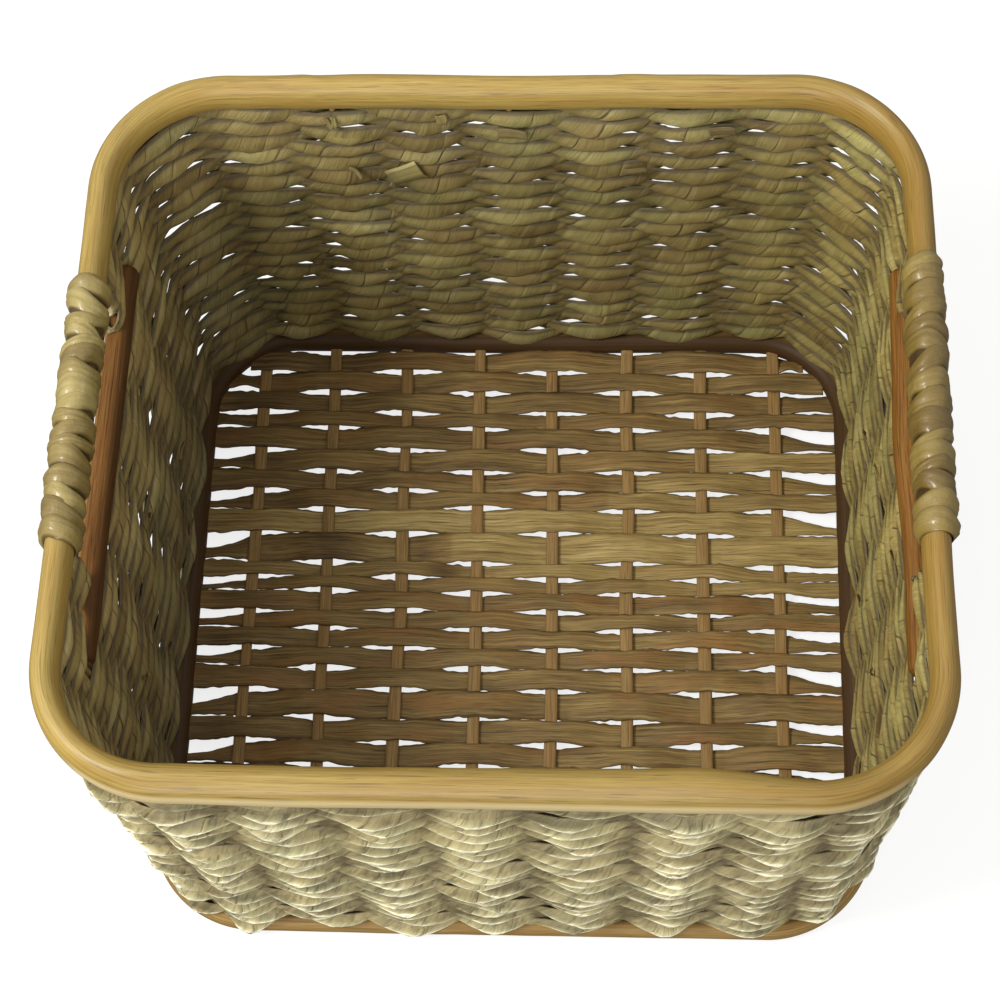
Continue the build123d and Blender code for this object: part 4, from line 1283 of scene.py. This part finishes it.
# ---------------------------------------------------------------------------
# loose leaf ends, curled tabs and tails standing off the weave
# ---------------------------------------------------------------------------
def leaf_tab(bag, u, z, off, length, width, slant, curl, camber, tone, side, seed):
    """Thin curled tab lying on the wall; off < 0 is the basket's inner side."""
    rng = np.random.default_rng(seed)
    P0, N0 = plan(np.array([u]), z, off)
    P0, N0 = P0[0], N0[0] * (1 if off > 0 else -1)
    Tn = norm(np.cross([0, 0, 1.0], N0)[None])[0]
    d = math.cos(slant) * Tn + math.sin(slant) * np.array([0, 0, 1.0])
    e = np.cross(N0, d)
    na, nb = 16, 7
    a = np.linspace(0, 1, na)
    b = np.linspace(-0.5, 0.5, nb)
    A, Bb = np.meshgrid(a, b, indexing="ij")
    ang = curl * A ** 1.6
    along = np.cumsum(np.cos(ang), 0) / na * length
    out = np.cumsum(np.sin(ang), 0) / na * length
    wdt = width * (1 - 0.10 * A + 0.05 * np.sin(5 * A + rng.uniform(0, 6)))
    lift = camber * (1 - (2 * Bb) ** 2) + 0.25 * np.sin(9 * Bb + rng.uniform(0, 6)) + out
    body = P0 + along[..., None] * d + (wdt * Bb + 0.4 * np.sin(4 * A + rng.uniform(0, 6)))[..., None] * e
    top = body + (lift + 0.25)[..., None] * N0
    bot = body + (lift - 0.20)[..., None] * N0
    ring = np.concatenate([top, bot[:, ::-1]], 1)
    cols = 2 * nb
    faces = ribbon_faces(na, cols)
    vv = np.append(np.concatenate([b + 0.5, (b + 0.5)[::-1]]), 0.0)
    uv = tube_uv(a * 0.9 + 0.02, 0.12 + 0.76 * vv)
    faces += [tuple(range(cols))[::-1], tuple((na - 1) * cols + i for i in range(cols))]
    uv = np.concatenate([uv, np.full((2 * cols, 2), 0.3)])
    uv[:, 0] = 0.02 + 0.10 * uv[:, 0]
    deep = 0.95 if off > 0 else 0.05
    bag.add(ring.reshape(-1, 3), faces, uv, np.tile([0.15, tone, side, deep], (len(uv), 1)))


def u_back(x):
    return S_START[4] + FX - x


tabs = Bag()
for n, (x, z, length, width, slant, curl, camber, tone) in enumerate((
        (-48, 187, 19, 16, 3.55, 0.22, 1.6, 0.80), (-60, 180, 9, 4, 3.9, 0.9, 0.6, 0.0),
        (-90, 231, 7, 3, 4.6, 0.6, 0.3, 0.6), (-95, 230, 8, 2.5, 5.2, 0.6, 0.3, 0.4),
        (-36, 233, 7, 6, 4.9, 0.3, 0.3, 0.6), (-8, 217, 17, 9, 0.15, 0.5, 1.2, 0.15), (-88, 188, 10, 3, 5.6, 0.9, 0.5, 0.5),
        (58, 183, 13, 6, 0.3, 0.3, 0.6, 0.1), (100, 219, 15, 7, 0.2, 0.4, 0.8, 0.15))):
    leaf_tab(tabs, u_back(x), z, -4.6, length, width, slant, curl, camber, tone, 0.0, 60 + n)
for n, (u, z, length, width, slant, curl, tone) in enumerate((
        (S_START[6] + 60, 70, 11, 3.5, 1.0, 0.6, 0.5), (S_START[6] + 120, 120, 10, 3, 1.8, 0.7, 0.4), (S_START[6] + 170, 55, 11, 4, 1.3, 0.7, 0.3),
        (S_START[6] + 200, 95, 10, 3, 1.7, 0.7, 0.5), (S_START[2] + 60, 90, 10, 4, 1.2, 0.5, 0.1), (S_START[2] + 150, 130, 10, 3, 2.0, 0.6, 0.1),
        (S_START[2] + 110, 60, 10, 4, 1.6, 0.5, 0.1), (S_START[2] + 190, 100, 10, 3, 1.4, 0.6, 0.1), (S_START[2] + 90, 160, 9, 3, 1.8, 0.5, 0.1),
        (S_START[6] + 90, 35, 12, 5, 0.7, 0.7, 0.2))):
    leaf_tab(tabs, u, z, -4.6, length, width, slant, curl, 0.5, tone, 0.0, 160 + n)
tabs.build("loose_leaf_ends", MAT_WEAVE)

# ---------------------------------------------------------------------------
# stage, light and camera
# ---------------------------------------------------------------------------
me = bpy.data.meshes.new("studio_floor")
S = 6.0
me.from_pydata([(-S, -S, 0), (S, -S, 0), (S, S, 0), (-S, S, 0)], [], [(0, 1, 2, 3)])
floor = bpy.data.objects.new("studio_floor", me)
bpy.context.scene.collection.objects.link(floor)
t = Tree("studio_floor_paper")
t.finish((0.86, 0.86, 0.85), 0.9, None, Specular_IOR_Level=0.1, Emission_Strength=0.80)
t.bsdf.inputs["Emission Color"].default_value = (1.0, 1.0, 0.995, 1.0)
t.bsdf.inputs["Base Color"].default_value = (0.25, 0.25, 0.248, 1.0)
me.materials.append(t.mat)
floor.location.z = -0.0006
floor.visible_diffuse = False
floor.visible_glossy = False

world = bpy.data.worlds.new("studio_world")
bpy.context.scene.world = world
world.use_nodes = True
wn = world.node_tree
bg = wn.nodes["Background"]
direction = wn.nodes.new("ShaderNodeTexCoord")
split = wn.nodes.new("ShaderNodeSeparateXYZ")
sky = wn.nodes.new("ShaderNodeMapRange")
sky.inputs["From Min"].default_value = -0.6
sky.inputs["From Max"].default_value = 0.9
sky.inputs["To Min"].default_value = 0.14
sky.inputs["To Max"].default_value = 0.84
wn.links.new(direction.outputs["Generated"], split.inputs[0])
wn.links.new(split.outputs[2], sky.inputs["Value"])
wn.links.new(sky.outputs[0], bg.inputs[1])
bg.inputs[0].default_value = (1.0, 0.99, 0.97, 1.0)


def area(name, loc, target, size, power, color=(1, 1, 1)):
    d = bpy.data.lights.new(name, "AREA")
    d.shape = "RECTANGLE"
    d.size, d.size_y = size
    d.energy = power
    d.color = color
    o = bpy.data.objects.new(name, d)
    bpy.context.scene.collection.objects.link(o)
    loc, target = np.array(loc, float), np.array(target, float)
    z = norm((loc - target)[None])[0]
    x = np.cross([0, 0, 1.0], z)
    x = x / np.linalg.norm(x) if np.linalg.norm(x) > 1e-6 else np.array([1.0, 0, 0])
    y = np.cross(z, x)
    M = Matrix(((x[0], y[0], z[0], loc[0]), (x[1], y[1], z[1], loc[1]), (x[2], y[2], z[2], loc[2]), (0, 0, 0, 1)))
    o.matrix_world = M
    return o


area("key_softbox", (-1.00, -0.40, 1.45), (0, 0, 0.1), (0.50, 0.50), 21.0, (1.0, 0.985, 0.95))
area("front_softbox", (-0.25, -1.6, 0.50), (0, -0.18, 0.1), (0.8, 0.30), 11.5)

Cx, Cy, Cz = 0.0582, -0.5093, 1.2270
YAW, PITCH, ROLL, FPX = math.radians(-6.89), math.radians(64.36), math.radians(-5.75), 2368.0
fwd = np.array([math.sin(YAW) * math.cos(PITCH), math.cos(YAW) * math.cos(PITCH), -math.sin(PITCH)])
right = np.array([math.cos(YAW), -math.sin(YAW), 0.0])
up = np.cross(right, fwd)
r2 = math.cos(ROLL) * right + math.sin(ROLL) * up
u2 = -math.sin(ROLL) * right + math.cos(ROLL) * up
cam = bpy.data.cameras.new("photo_camera")
cam.sensor_width = 36.0
cam.lens = 36.0 * FPX / 1000.0
cam.clip_start, cam.clip_end = 0.05, 50.0
cam_ob = bpy.data.objects.new("photo_camera", cam)
bpy.context.scene.collection.objects.link(cam_ob)
cam_ob.matrix_world = Matrix(((r2[0], u2[0], -fwd[0], Cx), (r2[1], u2[1], -fwd[1], Cy),
                              (r2[2], u2[2], -fwd[2], Cz), (0, 0, 0, 1)))
bpy.context.scene.camera = cam_ob
bpy.context.scene.view_settings.view_transform = "Standard"
